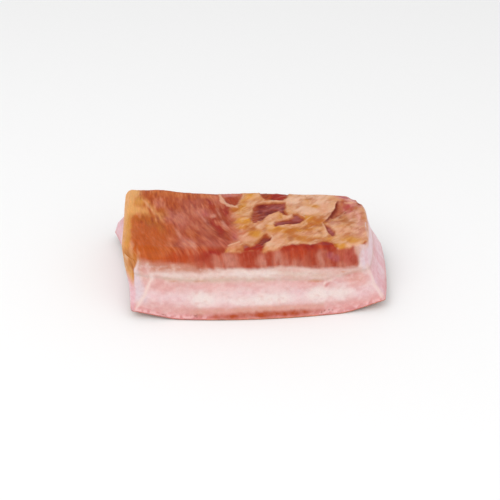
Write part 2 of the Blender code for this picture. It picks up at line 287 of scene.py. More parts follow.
def buildSkin():
    # one closed skin: a grid over the top, rows round the sides, shrinking rings under the rind
    across, deep, underRings = skinGrid["across"], skinGrid["deep"], skinGrid["underRings"]
    uLine, vLine = crowd(np.linspace(-1, 1, across + 1)), crowd(np.linspace(-1, 1, deep + 1))
    gridI, gridJ = np.meshgrid(np.arange(across + 1), np.arange(deep + 1), indexing="ij")
    # the grid's border, once round: front, right, back, left
    loopI = np.concatenate([np.arange(across), np.full(deep, across),
                            np.arange(across, 0, -1), np.zeros(deep, int)])
    loopJ = np.concatenate([np.zeros(across, int), np.arange(deep),
                            np.full(across, deep), np.arange(deep, 0, -1)])
    u, v = uLine[loopI], vLine[loopJ]
    sheets = [rindSheet(u, v), seamSheet(u, v), leanFloor(u, v), topSheet(u, v)]
    rows = [sheets[0]]
    counts = skinGrid["outerRows"], skinGrid["innerRows"], skinGrid["leanRows"]
    for lower, upper, count in zip(sheets, sheets[1:], counts):
        rows += [lower + k / count * (upper - lower) for k in range(1, count + 1)]
    sideIds = np.arange(len(rows) * len(u)).reshape(len(rows), len(u))
    us, vs, hs = [np.tile(u, len(rows))], [np.tile(v, len(rows))], [np.concatenate(rows)]

    inner = (gridI > 0) & (gridI < across) & (gridJ > 0) & (gridJ < deep)
    top = np.full(gridI.shape, -1)
    top[loopI, loopJ] = sideIds[-1]
    top[inner] = sideIds.size + np.arange(inner.sum())
    us.append(uLine[gridI[inner]])
    vs.append(vLine[gridJ[inner]])
    hs.append(topSheet(us[-1], vs[-1]))

    shares = 1.0 - np.linspace(0.0, 1.0, underRings + 1)[1:-1, None] ** skinGrid["ringCrowding"]
    first = sideIds.size + int(inner.sum())
    ringIds = first + np.arange(shares.size * len(u)).reshape(shares.size, len(u))
    under = np.concatenate([sideIds[:1], ringIds])
    us.append(np.append((shares * u).ravel(), 0.0))
    vs.append(np.append((shares * v).ravel(), 0.0))
    hs.append(rindSheet(us[-1], vs[-1]))

    u, v, h = np.concatenate(us), np.concatenate(vs), np.concatenate(hs)
    middle = len(u) - 1
    fan = np.stack([under[-1], np.full(under.shape[1], middle), np.roll(under[-1], -1)], axis=-1)
    isTop, isUnder = np.zeros(len(u), bool), np.zeros(len(u), bool)
    isTop[top.ravel()] = True
    isUnder[under.ravel()] = True
    isUnder[middle] = True
    topQuads = np.stack([top[:-1, :-1], top[1:, :-1], top[1:, 1:], top[:-1, 1:]], axis=-1)
    return {"points": slabPoint(u, v, h), "u": u, "v": v, "h": h,
            "sideIds": sideIds, "isTop": isTop, "isUnder": isUnder,
            "sideQuads": np.array([ringCells(a, b) for a, b in zip(sideIds, sideIds[1:])]),
            "topQuads": topQuads.reshape(-1, 4),
            "underQuads": np.concatenate([ringCells(a, b)[:, ::-1] for a, b in zip(under, under[1:])]),
            "underFan": fan}


def pointNormals(points, quads):
    # sum of the cross products of the diagonals of the cells round each point
    p, q, r, s = (points[quads[:, corner]] for corner in range(4))
    facing = np.cross(r - p, s - q)
    normals = np.zeros_like(points)
    for corner in range(4):
        for axis in range(3):
            normals[:, axis] += np.bincount(quads[:, corner], facing[:, axis], len(points))
    return normals / np.maximum(np.linalg.norm(normals, axis=1, keepdims=True), 1e-9)


skin = buildSkin()
fanQuads = skin["underFan"][:, (0, 1, 1, 2)]
sideQuads = skin["sideQuads"].reshape(-1, 4)
skinQuads = np.concatenate([sideQuads, skin["topQuads"], skin["underQuads"], fanQuads])
base, u, v, h = skin["points"], skin["u"], skin["v"], skin["h"]
x, y, z = base.T
cadMiddle = 0.5 * (np.array(cadLow) + np.array(cadHigh)) / mm
centring = cadMiddle - 0.5 * (base.min(axis=0) + base.max(axis=0))
centring[2] = 0.0
normals = pointNormals(base, skinQuads)
along = u * 100.0   # place along the slab, the same on every face
print("skin:", len(base), "points")

# Where each finish lies: millimetres along the slab, and from its cut front to its back.
# Outlines are corners, strokes run through (x, y, half width), and patches are
# (x, y, half length, half width), with the degrees of their turn where they are turned.
windows = (  # dried lean that shows through the film
    ((8, 49), (9, 40), (12, 37), (18, 35.5), (24, 34.5), (28, 35), (30, 38), (31, 42), (32, 49)),
    ((6, 30), (4, 28), (3, 22), (2.5, 17), (1, 10), (1, 5), (3, -1), (5, -1), (6, 2), (8, 1.5),
     (10.5, 4), (12.5, 9), (15.5, 12.5), (19, 16), (23.5, 18.5), (25.5, 16), (27, 13), (31, 12.5),
     (29, 15), (28, 19), (29, 26), (29.5, 31), (22, 31), (12, 31)),
    ((35.5, 13.5), (38, 14), (40, 11.5), (43.5, 8), (42.5, 4), (39, 1), (33, 0), (27, -0.5),
     (22, -2.5), (20.5, -5.5), (18.8, -3), (19.5, 1.5), (24, 4.5), (30, 6), (33, 8), (35.5, 10.5)),
    ((12.5, -16), (14, -19), (17, -22), (15, -26), (12, -30), (10.5, -35), (10, -42), (-5, -42),
     (-5.5, -34), (-4, -30.5), (-2, -32), (0, -34.5), (3, -31.5), (6, -28), (8, -24), (10, -20)),
    ((60.5, -1), (62.5, -3.5), (66, -8), (68, -12), (67.5, -15), (65.5, -16.5), (63.5, -14),
     (61.5, -9), (60.2, -5)),
    ((90.3, 43), (92.5, 42), (92.5, 34), (90.5, 34)),
    ((90.5, -24), (92, -28), (88, -32.5), (83, -35), (86, -30.5)))
rolledEdges = (  # where the film's edge is thick and pale
    ((-26, 45, 1.0), (-24.6, 38, 1.5), (-22.5, 31, 2.1), (-18, 26, 2.0), (-12, 24, 1.3)),
    ((9, 33, 0.7), (32, 32.5, 0.8)), ((31, 9, 0.6), (34.5, 12, 0.7)),
    ((44, 10, 0.6), (41, 13.5, 0.6)), ((17.5, -19, 0.7), (17.5, -24, 0.8), (13, -31, 0.7)),
    ((58.5, 0, 0.6), (60, -8, 0.7), (62.5, -15, 0.7)), ((-8, -29, 0.8), (-16, -34, 0.9)),
    ((79, 35.6, 0.6), (84, 35.4, 0.8), (89, 38, 0.6)),
    ((68, -33, 0.7), (78, -35, 0.8), (86, -28, 0.6)))
filmEdge = {  # the film lies right of the side line and behind the front line, both (x, y)
    "side": ((-21, -45), (-17, -36), (-12, -30), (-8, -24), (-8, -15), (-13, -5), (-15, 5), (-15, 15),
             (-17, 22), (-11, 28), (-8, 40), (-8, 52)),
    "front": ((-40, -39), (-20, -40), (-12, -41), (-4, -39), (2, -38), (10, -40), (20, -41),
              (24.5, -34), (28, -32), (33, -30), (38, -30.5), (42, -29.5), (47, -31.5), (50, -29),
              (56, -26), (60, -25), (64, -27), (66, -31), (69, -35), (78, -36), (82, -33), (86, -31),
              (90, -26), (96, -20)),
    "crisp": 2.6, "soft": 6.2, "softFrom": 8.0, "softRun": 14.0, "softUpTo": (-24.0, 6.0)}
wrapEdge = {  # the smoked skin comes down to this height: (place, height)
    "front": ((-100, 24), (-98, 33), (-95, 40), (-92, 45.5), (-88, 46), (-80, 44.5), (-62, 44.5),
              (-50, 47), (-38, 49.5), (-28, 50.5), (-10, 51.5), (10, 52), (28, 52.5), (55, 52.5),
              (70, 51.5), (84, 51.5), (90, 53.2), (100, 53.8)),
    "left": ((-1, 24), (-0.9, 27), (-0.2, 33), (1, 33)),
    "right": ((-1, 53.4), (-0.4, 50.0), (0.2, 47.6), (1, 48.4)), "back": 50.0,
    "width": 2.6, "frontWidth": 6.5, "leftWidth": 4.0, "frontFrom": (30.0, 15.0), "frontUpTo": (-97.0, 6.0)}
leanEdge = {  # the lean's colour starts this far above its floor, and ends here at the right
    "lift": ((-94, 3.5), (-82, 1.8), (-60, 1.4), (-42, 0.0), (45, 0.0), (60, -1.3)),
    "end": ((32, 91.0), (37, 93.6), (42, 93.0), (48, 91.0), (54, 90.0)),
    "width": 4.4, "leftWidth": 2.4, "leftFrom": (35.0, 20.0), "endWidth": 4.6}
# the creases' light lines are painted highlights along the front's corners
creases = (  # light lines down the front's corners: (place along, height, half width)
    ((-83.5, 33, 1.1), (-84, 29, 1.3), (-87.5, 22.5, 1.3), (-91, 16, 1.2), (-93.5, 10, 1.2), (-96.5, 4, 1.0)),
    ((-92, 45, 0.7), (-94.5, 39, 0.9), (-97, 32, 0.7)),
    ((99, 34, 0.8), (99.6, 18, 1.0), (99.8, 3, 1.0)))


def readLine(place, line):
    # value of a line of (place, value) points, straight between them
    places, values = np.array(line, float).T
    return np.interp(place, places, values)


def strokeField(px, py, strokes):
    # millimetres inside the nearest stroke, whose half width changes evenly from point to point
    field = np.full_like(px, -50.0)
    for stroke in strokes:
        for (ax, ay, ar), (bx, by, br) in zip(stroke, stroke[1:]):
            runX, runY = bx - ax, by - ay
            t = np.clip(((px - ax) * runX + (py - ay) * runY) / (runX ** 2 + runY ** 2), 0.0, 1.0)
            field = np.maximum(field, ar + (br - ar) * t - np.hypot(px - ax - t * runX, py - ay - t * runY))
    return field


def outlineField(px, py, outlines):
    # millimetres inside the nearest closed outline: distance to its sides, less than 0 outside
    field = np.full_like(px, -50.0)
    for corners in outlines:
        near, inside = np.full_like(px, 50.0), np.zeros(px.shape, bool)
        for (ax, ay), (bx, by) in zip(corners, corners[1:] + corners[:1]):
            runX, runY = bx - ax, by - ay
            t = np.clip(((px - ax) * runX + (py - ay) * runY) / (runX ** 2 + runY ** 2), 0.0, 1.0)
            near = np.minimum(near, np.hypot(px - ax - t * runX, py - ay - t * runY))
            if runY:
                inside ^= ((ay > py) != (by > py)) & (px < ax + (py - ay) * runX / runY)
        field = np.maximum(field, np.where(inside, near, -near))
    return field


def patchField(px, py, patches):
    # millimetres inside the nearest ellipse, turned where a patch gives degrees
    field = np.full_like(px, -50.0)
    for cx, cy, rx, ry, *turn in patches:
        angle = np.radians(sum(turn))
        c, s = np.cos(angle), np.sin(angle)
        reach = np.hypot(((px - cx) * c + (py - cy) * s) / rx, ((py - cy) * c - (px - cx) * s) / ry)
        field = np.maximum(field, (1.0 - reach) * min(rx, ry))
    return field


def softly(field, width):
    # 0 outside and 1 inside a form, eased over a width in millimetres
    return ease(0.5 + field / width)


slow, lumps = roughNoise(base, 22.0, seed=3, octaves=2), roughNoise(base, 8.0, seed=5)
crumbs, grains = roughNoise(base, 3.2, seed=7), roughNoise(base, 1.3, seed=9, octaves=2)
bend, stray = 0.9, 2.0   # how far outlines and stains wander, millimetres
bendX = x + bend * roughNoise(base, 11.0, seed=11, octaves=2) + bend * roughNoise(base, 3.0, seed=12)
bendY = y + bend * roughNoise(base, 11.0, seed=13, octaves=2) + bend * roughNoise(base, 3.0, seed=14)
straySide = stray * roughNoise(base, 13.0, seed=15) + 1.0 * crumbs
strayX, strayY = x + straySide, y + stray * roughNoise(base, 13.0, seed=17) - 1.0 * crumbs

isTop, isUnder = skin["isTop"], skin["isUnder"]
rimShare = edgeFall(u, v, shoulderRadius(u, v)) / shoulderRadius(u, v)   # 0 on the top, 1 at its rim
topWeight = np.where(isTop, 1.0 - ramp(rimShare, 0.15, 0.6), 0.0)
sideWeight = np.where(isUnder, 0.0, 1.0 - topWeight)
leftFace, rightFace = ramp(-u, 0.97, 0.025), ramp(u, 0.975, 0.02)
endFace = np.maximum(leftFace, rightFace)
seamHeight, floorHeight = seamSheet(u, v), leanFloor(u, v)

# fibres run from the back left to the front right, bent and fanned; the path's first axis crosses them
fibreRun = {"slant": 0.374, "bend": 0.0021, "fan": 0.003, "fanReach": 50.0, "waver": 1.3}
fibreAcross = x + fibreRun["slant"] * y - fibreRun["bend"] * y * y
fibreAcross += fibreRun["fan"] * (x + fibreRun["fanReach"]) * y
fibreAcross += fibreRun["waver"] * slow
fibrePath = np.stack([fibreAcross, y, h], axis=1)
fibres = roughNoise(fibrePath, (2.4, 8, 20), seed=31, octaves=2)
fineFibres = roughNoise(fibrePath, (0.9, 5, 12), seed=34, octaves=2)
bundles = roughNoise(fibrePath, (6.0, 22, 40), seed=37)
# upright streaks of the cut face
drapes = roughNoise(np.stack([along + 0.4 * lumps, y, h], axis=1), (3.4, 40, 12), seed=41, octaves=2)
# in plan the film is drawn out along one direction, and the dried lean is wrinkled along another
flowX, flowY = 0.66, 0.75
filmFlow = np.stack([flowY * x - flowX * y + 1.6 * lumps, flowX * x + flowY * y, z], axis=1)
wrinkleX, wrinkleY = 0.87, 0.5
wrinklePath = np.stack([wrinkleX * y - wrinkleY * x + 0.6 * crumbs, wrinkleX * x + wrinkleY * y, z], axis=1)
wrinkles = roughNoise(wrinklePath, (1.5, 6.5, 5.0), seed=73)

placesX, placesY = np.array(filmEdge["side"], float).T
filmSide = bendX - np.interp(bendY, placesY, placesX)
filmFront = bendY - readLine(bendX, filmEdge["front"])
# its border is soft at the left, and crisp at the front and at the back
softShare = softly(filmFront - filmSide - filmEdge["softFrom"], filmEdge["softRun"])
filmBorder = filmEdge["crisp"] + filmEdge["soft"] * softShare * ramp(-y, *filmEdge["softUpTo"])
film = softly(np.minimum(filmSide, filmFront) + 0.9 * crumbs + 0.2 * filmBorder * lumps, filmBorder)
driedField = outlineField(bendX, bendY, windows)
driedMask = softly(driedField + 0.8 * crumbs + 0.4 * grains, 2.4) * film * topWeight
rolledField = strokeField(bendX, bendY, rolledEdges)

recessForm = {"reach": (-0.3, 0.4), "start": (-0.4, 1.0), "flat": 0.8, "ragged": 1.5,
              "width": 1.2, "opening": 8.0, "openingDeep": (10.0, 14.0)}
nominalX = u * slabForm["topHalf"][0]
ledgePast = ledgeDistance(nominalX, v * slabForm["topHalf"][1])
ledgeReach = ramp(v, *recessForm["reach"]) * (1.0 - foldShare(nominalX, v - 0.03)) * topWeight
# it opens towards the back
recessWidth = recessForm["width"] + recessForm["opening"] * ramp(y, *recessForm["openingDeep"])
recess = ramp(ledgePast, *recessForm["start"]) * ledgeReach
recess *= 1.0 - ease((ledgePast - recessForm["flat"] - recessForm["ragged"] * lumps) / recessWidth)

wrapHeight = np.where(v < 0, readLine(along, wrapEdge["front"]), wrapEdge["back"])
wrapHeight += (readLine(v, wrapEdge["left"]) - wrapHeight) * leftFace
wrapHeight += (readLine(v, wrapEdge["right"]) - wrapHeight) * rightFace
wrapHeight += 1.5 * lumps + 0.8 * crumbs
frontWidth = wrapEdge["frontWidth"] * ramp(-along, *wrapEdge["frontFrom"])
frontWidth *= ramp(along, *wrapEdge["frontUpTo"]) * (v < 0)
wrapWidth = wrapEdge["width"] + frontWidth * (1.0 - leftFace) + wrapEdge["leftWidth"] * leftFace
smoked = softly(h - wrapHeight - 0.8 * drapes, wrapWidth)
smoked = np.where(isTop & (rimShare < 0.1), 1.0, smoked) * ~isUnder

leanRise = h - floorHeight - readLine(along, leanEdge["lift"])
leanWidth = leanEdge["width"] + leanEdge["leftWidth"] * ramp(-along, *leanEdge["leftFrom"])
leanMask = softly(leanRise - 1.5 * lumps - 0.7 * drapes - 0.7 * crumbs, leanWidth)
leanEnd = readLine(h, leanEdge["end"]) - along + 1.2 * lumps + 0.5 * crumbs
leanMask *= softly(leanEnd, leanEdge["endWidth"])

creaseField = strokeField(along + 1.0 * lumps, h + 0.6 * crumbs, creases)
creaseField -= 6.0 * ramp(v, -0.98, 0.08)   # on the front only
# small nubs in a row along the rind's edge
nubRow = {"size": 2.3, "contrast": 2.2, "height": 2.6, "half": 1.6, "gapHalf": 1.8}
nubPath = np.stack([x, y, 0.3 * h], axis=1)
nubs = ease(0.5 + nubRow["contrast"] * roughNoise(nubPath, nubRow["size"], seed=95, octaves=1))
nubs *= ridge(h, nubRow["height"], nubRow["half"]) * np.where(isUnder, 0.0, 1.0 - endFace)

# what the studio's light adds to a stain, and for the sides a painted shade that offsets the extra light
# falling on them
studioLight = {"level": 1.04, "sheen": 0.022, "sides": 0.93}


def paint(red, green, blue):
    # linear colour of a stain that shows as this screen colour, 0 to 255, in the studio's light
    c = np.array([red, green, blue]) / 255.0
    linear = np.where(c <= 0.04045, c / 12.92, ((c + 0.055) / 1.055) ** 2.4)
    return np.maximum((linear - studioLight["sheen"]) / studioLight["level"], 0.002)


def allOver(shade):
    return np.broadcast_to(paint(*shade), base.shape)


def bands(place, table):
    # colour read along a line of (place, red, green, blue)
    table = np.array(table, float)
    colours = np.array([paint(*row) for row in table[:, 1:]])
    return np.stack([np.interp(place, table[:, 0], column) for column in colours.T], axis=1)


def lay(below, above, mask):
    # one colour over another where the mask is 1
    return below + (above - below) * np.clip(mask, 0.0, 1.0)[:, None]


def tint(colour, stain, mask):
    # a stain of (shade, strength) over a colour
    shade, strength = stain
    return lay(colour, paint(*shade), strength * mask)


def layPatches(colour, px, py, stains, ragged):
    # stains in turn: shade, strength, softness in millimetres, patches
    for shade, strength, softness, patches in stains.values():
        field = patchField(px, py, patches) + 0.28 * softness * ragged
        colour = lay(colour, paint(*shade), strength * softly(field, softness))
    return colour


muscle = {
    "lightStrands": ((220, 140, 104), 0.8), "darkStrands": ((138, 50, 22), 0.85),
    "bands": ((-102, 230, 168, 108), (-93, 192, 100, 46), (-72, 184, 92, 54), (-46, 180, 92, 70),
              (-24, 168, 78, 50)),
    "stains": {
        "orangeFront": ((187, 89, 36), 0.9, 12, ((-78, -26, 14, 20), (-60, -42, 28, 6),
            (-86, -8, 6, 12))),
        "redFrontEdge": ((172, 66, 28), 0.8, 6, ((-30, -42, 14, 5), (-52, -44, 10, 3))),
        "tanBack": ((202, 114, 62), 0.75, 7, ((-62, 43, 20, 5), (-38, 42, 12, 4),
            (-86, 28, 3, 8, 20))),
        "brownSpots": ((178, 84, 42), 0.7, 5, ((-86, 36, 3.5, 12, 32), (-63, 28, 3, 8, 15),
            (-34, 28, 4, 9, 25), (-46, -18, 5, 10, 20), (-60, -12, 4, 8, 15), (-50, 38, 8, 4))),
        "pinkPatches": ((190, 108, 92), 0.7, 7, ((-38, 13, 8, 7, 30), (-57, 0, 6, 13, 15),
            (-50, -30, 6, 9, 20), (-10, -20, 6, 7), (-20, 45, 9, 4), (-24, -31, 10, 6),
            (-66, 8, 5, 10, 15), (-76, 24, 4, 7, 15))),
        "salmonBack": ((200, 110, 84), 0.7, 4, ((-28, 34, 2.5, 9, 15), (-14, 45, 6, 3),
            (-41, -42, 5, 3))),
        "redByTheFilm": ((160, 56, 15), 0.8, 5, ((-16, 36, 4.5, 6, 15), (-21, 18, 4, 7, 15),
            (-27, -1, 4, 9, 20), (-24, -14, 2.5, 8, 20), (-17, -1, 1.8, 5, 15),
            (-32, 22, 2.5, 7, 25))),
        "darkRedByTheFilm": ((160, 52, 8), 0.8, 4, ((-27, -6, 3, 9, 20), (-19, 12, 2, 6, 15),
            (-34, 31, 2, 6, 20))),
        "darkFrontEdge": ((154, 46, 24), 0.85, 4, ((-28, -43, 9, 4), (-44, -45, 4, 3),
            (-36, -44, 3, 3))),
        "pinkByTheFilm": ((194, 104, 82), 0.85, 6, ((-12, -19, 5, 9, 10), (-14, -7, 3, 4),
            (-19, -30, 6, 6), (-15, 8, 3, 6))),
        "mauveByTheFilm": ((184, 96, 92), 0.7, 4, ((-12, -21, 2.6, 5, 10), (-38, 14, 3, 5, 30))),
        "ochreBrown": ((180, 100, 34), 0.75, 6, ((-86, 6, 7, 4.5, 25), (-79, -1, 5, 7, 25),
            (-73, 12, 4, 6, 15), (-91, 29, 3.5, 7, 8), (-72, -8, 3, 8, 15))),
        "leftStrip": ((228, 168, 104), 0.85, 8, ((-98, 40, 5, 8), (-95, 15, 7, 6, 25),
            (-88, 14, 4, 6, 35), (-101, 20, 4, 20), (-84, 22, 1.6, 10, 32))),
        "deepOchre": ((213, 149, 72), 0.85, 4, ((-92, 27, 3.6, 6, 8), (-97.5, -6, 2.4, 12, 4),
            (-96.5, -28, 2.2, 16, 2))),
        "paleLines": ((232, 178, 140), 0.55, 2.5, ((-103, 10, 1.5, 26), (-84, 20, 0.9, 9, 32),
            (-92, -40, 1.2, 8, 4), (-86, -44, 1.0, 6, 10))),
        # pale streaks; the round mark at (-30.5, 11) is a painted highlight
        "paleStreaksAndHighlight": ((214, 148, 128), 0.7, 3, ((-30.5, 11, 2.0, 2.8), (-55, -20, 1.2, 8, 24),
            (-37, 4, 1.1, 7, 26), (-21, -2, 1.4, 6, 14), (-44, -34, 1.2, 7, 24),
            (-26, 14, 1.1, 6, 20))),
        "underTheRolledEdge": ((172, 74, 34), 0.85, 4, ((-16, 33, 4.5, 6, 10),)),
        "pinkBackRim": ((196, 122, 116), 0.7, 4, ((-18, 44, 7, 3),)),
        "frontStrip": ((170, 60, 30), 0.9, 4, ((40, -35, 16, 6), (60, -31, 9, 6.5), (74, -38, 8, 4),
            (5, -38, 10, 5))),
        # dark spots of the lean; the three just under the film's front edge are painted shadow of that edge
        "darkSpots": ((148, 46, 20), 0.8, 3, ((36, -31, 4, 1.8), (46, -32, 4, 3, 20),
            (59, -28, 5, 2.6), (50, -37, 1.6, 4), (29, -38, 2, 3), (61, -34, 2, 4))),
        "lightSpots": ((198, 90, 56), 0.75, 3, ((54.6, -35, 1.4, 7), (42, -38, 2.6, 2.4),
            (33, -37, 2, 2), (70, -38, 4, 2.4), (76, -36, 3, 3))),
        "pinkRightCorner": ((206, 140, 138), 0.9, 4, ((86, -37, 5, 5, 20), (92, -31, 3, 8, -10))),
        "paleRightCorner": ((234, 210, 212), 0.9, 4, ((95, -38, 4, 10),)),
        "brownFrontEdge": ((176, 72, 34), 0.7, 5, ((-48, -42, 12, 5),))}}


def paintMuscle():
    # bands across the fibres, patches, and light and dark strands along them, which are the fibres' tone with
    # painted highlights on their ridges and painted shade in their grooves
    colour = bands(fibreAcross - 0.25 * y + 4.0 * bundles, muscle["bands"])
    colour = layPatches(colour, strayX, strayY, muscle["stains"], lumps + 0.9 * fibres)
    frontCalm = 0.45 * ramp(-x, 56.0, 14.0) * ramp(-y, -8.0, 20.0)
    stripCalm = 0.92 * ramp(-x, 91.0, 4.0)
    rimCalm = 0.7 * np.maximum(ramp(x, 10.0, 8.0), sideWeight)
    calm = np.maximum(np.maximum(frontCalm, stripCalm), rimCalm)   # where the strands hardly show
    strands = 0.75 * fibres + 0.4 * fineFibres + 0.4 * bundles
    strands = strands * (1.0 - calm) * (0.6 + 0.8 * ease(0.5 + lumps))
    # the strands' light and dark are partly painted highlight and painted shade on the raised fibres
    colour = tint(colour, muscle["lightStrands"], strands)
    return tint(colour, muscle["darkStrands"], -strands)


filmFinish = {
    "plain": (214, 152, 106), "dull": ((198, 128, 80), 1.0), "pale": ((228, 178, 146), 0.8),
    "ochre": ((210, 142, 60), 0.55), "lightSpots": ((238, 192, 160), 0.4),
    "darkSpots": ((180, 98, 46), 0.45), "frontRim": ((172, 86, 40), 0.7),
    "creases": ((176, 96, 50), 0.45), "rolled": ((228, 176, 146), 0.8),
    "windowRim": ((188, 106, 60), 0.6),
    "stains": {
        "brownNotch": ((170, 84, 40), 0.85, 3, ((-14.5, 5, 2.2, 4),)),
        "thinBorder": ((204, 122, 92), 0.9, 7, ((-9, -16, 6, 14), (-12, 3, 4, 9), (-17, -33, 6, 4))),
        "paleBack": ((230, 186, 160), 0.8, 8, ((37, 33, 9, 7), (55, 42, 13, 4), (46, 20, 11, 6),
            (20, 33, 10, 1.6), (60, 33, 9, 6), (66, 20, 3, 9, -20))),
        "salmonPatches": ((224, 160, 128), 0.75, 6, ((-13, 9, 4, 4), (17, 8, 6, 3.5, 30),
            (29, 8, 5, 2.5, 20), (46, -15, 7, 3.5), (24, -26, 4.5, 8), (-3, -24, 7, 5),
            (20, -16, 5, 4), (-14, -34, 5, 5), (34, -3, 9, 1.8, 5), (62, 24, 5, 8, -20),
            (75, -9, 7, 6), (9, -3, 5, 2.5))),
        "ochrePatches": ((210, 142, 58), 0.85, 6, ((-1, 42, 6, 5), (-8, 22, 3.5, 11, -8),
            (-5, 1, 8, 4), (21, -8, 8, 4), (38, -9, 6, 4), (47, 8, 4, 3), (52, 28, 4, 3),
            (80, -22, 7, 4), (72, -31, 3.6, 4), (4, -17, 5, 4), (42, -24, 8, 3), (-7, -8, 5, 3),
            (53, -21, 4, 2.5))),
        "brightOchre": ((228, 154, 60), 0.7, 4, ((26, -11, 4.5, 2.6), (-3, 3, 4, 2),
            (-1, 39, 3.5, 2.5), (17, -6, 3, 2))),
        "deepOchre": ((204, 128, 48), 0.8, 5, ((27, -11, 8, 4.5, -20), (36, -9, 5, 5), (52, 3, 7, 6),
            (46, -4, 4, 5), (20, -13, 4, 3))),
        "brownPatches": ((188, 104, 42), 0.85, 4.5, ((33, -13, 4, 6, -10), (35, -20, 3.5, 4),
            (56, 5, 5, 4.5), (51, -1, 4.5, 3.5), (45, -5, 2.4, 4), (-14, 18, 4, 4), (0, -10, 4, 2.8),
            (11.7, -8, 1.5, 3.6, -8), (58, 9, 2.5, 5, -25), (12, 33, 3, 1.6), (-16, 4, 1.8, 6))),
        "darkSpots": ((168, 96, 60), 0.7, 3, ((32, -24, 2.6, 4), (57, -2, 4, 2.2, 20),
            (11.8, -12, 0.9, 3, -8), (0.5, -10.5, 2, 1.4), (55, -12, 1.5, 3, 20), (48, 38, 2.5, 1.2),
            (-11, 33, 1.2, 5), (29.5, 22, 1, 5), (44, -5.5, 1.0, 3, -20))),
        "pinkRightEnd": ((210, 143, 124), 0.85, 8, ((85, 20, 8, 14), (90, 6, 5, 16), (88, -12, 5, 9))),
        "brownFront": ((188, 110, 74), 0.55, 4, ((50, -24, 10, 4), (80, -16, 7, 3))),
        "pinkByTheLedge": ((204, 132, 108), 0.85, 4, ((66.5, 4, 3, 6, -15), (71, 5, 2, 5),
            (64, -3, 2, 2))),
        "pinkBackCorner": ((210, 138, 130), 0.9, 5, ((81, 43, 10, 5.5), (86, 36, 9, 8),
            (80, 28, 5, 6))),
        "mauveBackCorner": ((190, 98, 104), 0.7, 3, ((79, 31, 2.4, 3.4, -15), (84, 27, 1.6, 4, -15),
            (87, 41, 2.4, 1.4))),
        "purpleRim": ((168, 84, 104), 0.85, 2.4, ((76.5, 42.5, 4.6, 1.5, -28),
            (81, 40, 2.2, 1.0, -10))),
        # pale pink lines; the two at the back corner are painted highlights on its ridge
        "palePinkLinesAndHighlights": ((228, 172, 160), 0.7, 2.4, ((84.5, 39, 3.4, 1.1, 10),
            (79, 45.5, 4.5, 0.9, -10), (88, 16, 1.2, 12))),
        "darkCorner": ((144, 66, 58), 0.85, 2.2, ((91, 37.5, 1.0, 3.6), (77, 35.4, 3.4, 0.5, 4))),
        "paleRightBorder": ((228, 186, 178), 0.85, 3, ((97.5, 12, 2.0, 30, 3),
            (95.5, -20, 2.0, 12, 5))),
        "redInTheRecess": ((184, 84, 78), 0.85, 3, ((80, 31, 2.4, 3.4, -15), (83, 26, 1.2, 3, -15))),
        "brownInTheRecess": ((156, 80, 56), 0.85, 4, ((72.5, 17.5, 3, 4.5, -20), (76, 23, 2.6, 2.6))),
        "ochreByTheRecess": ((182, 110, 62), 0.85, 4, ((76.5, 10, 3.4, 7.5, -6), (81, 5, 3.5, 1.8),
            (84, 14, 1.4, 5), (88, 28, 1.6, 4), (78, -4, 3, 1.2)))}}


def paintFilm():
    # a dull and pale mottle, patches, fine spots, a brown front rim and thin creases
    tone = roughNoise(filmFlow, (5.5, 12.0, 6.0), seed=71)
    spots = roughNoise(filmFlow, (2.4, 7.0, 3.0), seed=72, octaves=2)
    colour = tint(allOver(filmFinish["plain"]), filmFinish["dull"], ramp(lumps, -0.05, 0.5))
    colour = tint(colour, filmFinish["pale"], ramp(tone, 0.05, 0.45))
    colour = tint(colour, filmFinish["ochre"], ramp(-tone, 0.12, 0.4))
    colour = layPatches(colour, strayX, strayY, filmFinish["stains"], 1.2 * lumps + crumbs)
    colour = tint(colour, filmFinish["lightSpots"], ramp(spots, 0.05, 0.6))
    colour = tint(colour, filmFinish["darkSpots"], ramp(-spots, 0.05, 0.6))
    frontRim = ridge(filmFront, 1.5, 1.8) * ease(0.3 + 1.2 * lumps + crumbs)
    colour = tint(colour, filmFinish["frontRim"], frontRim)
    thinCreases = ramp(-np.abs(roughNoise(filmFlow + 9.0, (5.0, 11.0, 5.0), seed=75)), -0.10, 0.10)
    thinCreases *= ease(0.3 + 1.5 * roughNoise(base, 12.0, seed=77))
    return tint(colour, filmFinish["creases"], thinCreases)


driedFinish = {
    "plain": (148, 62, 46), "lightWrinkles": ((182, 112, 100), 0.55),
    "darkWrinkles": ((98, 32, 22), 0.5), "rim": ((178, 88, 50), 0.5),
    "stains": {
        "mauve": ((168, 94, 92), 0.75, 3.5, ((22, 28, 6, 1.6), (24, 1, 4.5, 2.4, 12),
            (20, 25.5, 8, 2.6, 6), (25, 22, 3, 4), (37.5, 8.5, 4, 3.5, 30), (27, 2.6, 6, 1.3, 10),
            (64.5, -9, 2.5, 6, 22), (12, 20, 4, 1.4, 10), (5, -35, 2.4, 3), (-4.5, -35, 1.5, 4))),
        "darkRed": ((120, 40, 28), 0.85, 3, ((9.5, 26.5, 4, 3), (15.5, 16.5, 4.5, 2.2, 30),
            (37, 2.8, 3.6, 1.5, 5), (11.3, 6, 1.3, 3.5, -25), (8, 17, 2, 4),
            (13.5, -25, 1.4, 4.5, -35), (10, -31, 1.4, 4, -20), (22, 39, 4.5, 2.6),
            (60.9, -6, 0.8, 4, 15), (27, 20.5, 1.2, 3), (29, 1.4, 4, 0.9, 8))),
        "brownEdges": ((166, 74, 34), 0.9, 4, ((3.4, 6, 2.4, 7), (3.8, 20, 1.6, 6), (29.5, 38, 2, 4),
            (28, 14, 2, 2.4, -40), (12.5, -19, 2.4, 2.6), (4, -39, 4, 3), (6, 12, 2, 3))),
        "orangeBack": ((170, 78, 28), 0.95, 4, ((12.5, 42, 6, 8),)),
        "brightRed": ((168, 54, 30), 0.9, 4, ((22.5, 42, 6, 6), (6, -35, 4.5, 6, 20), (87, -31, 3, 3),
            (-2, -38, 3, 3)))}}


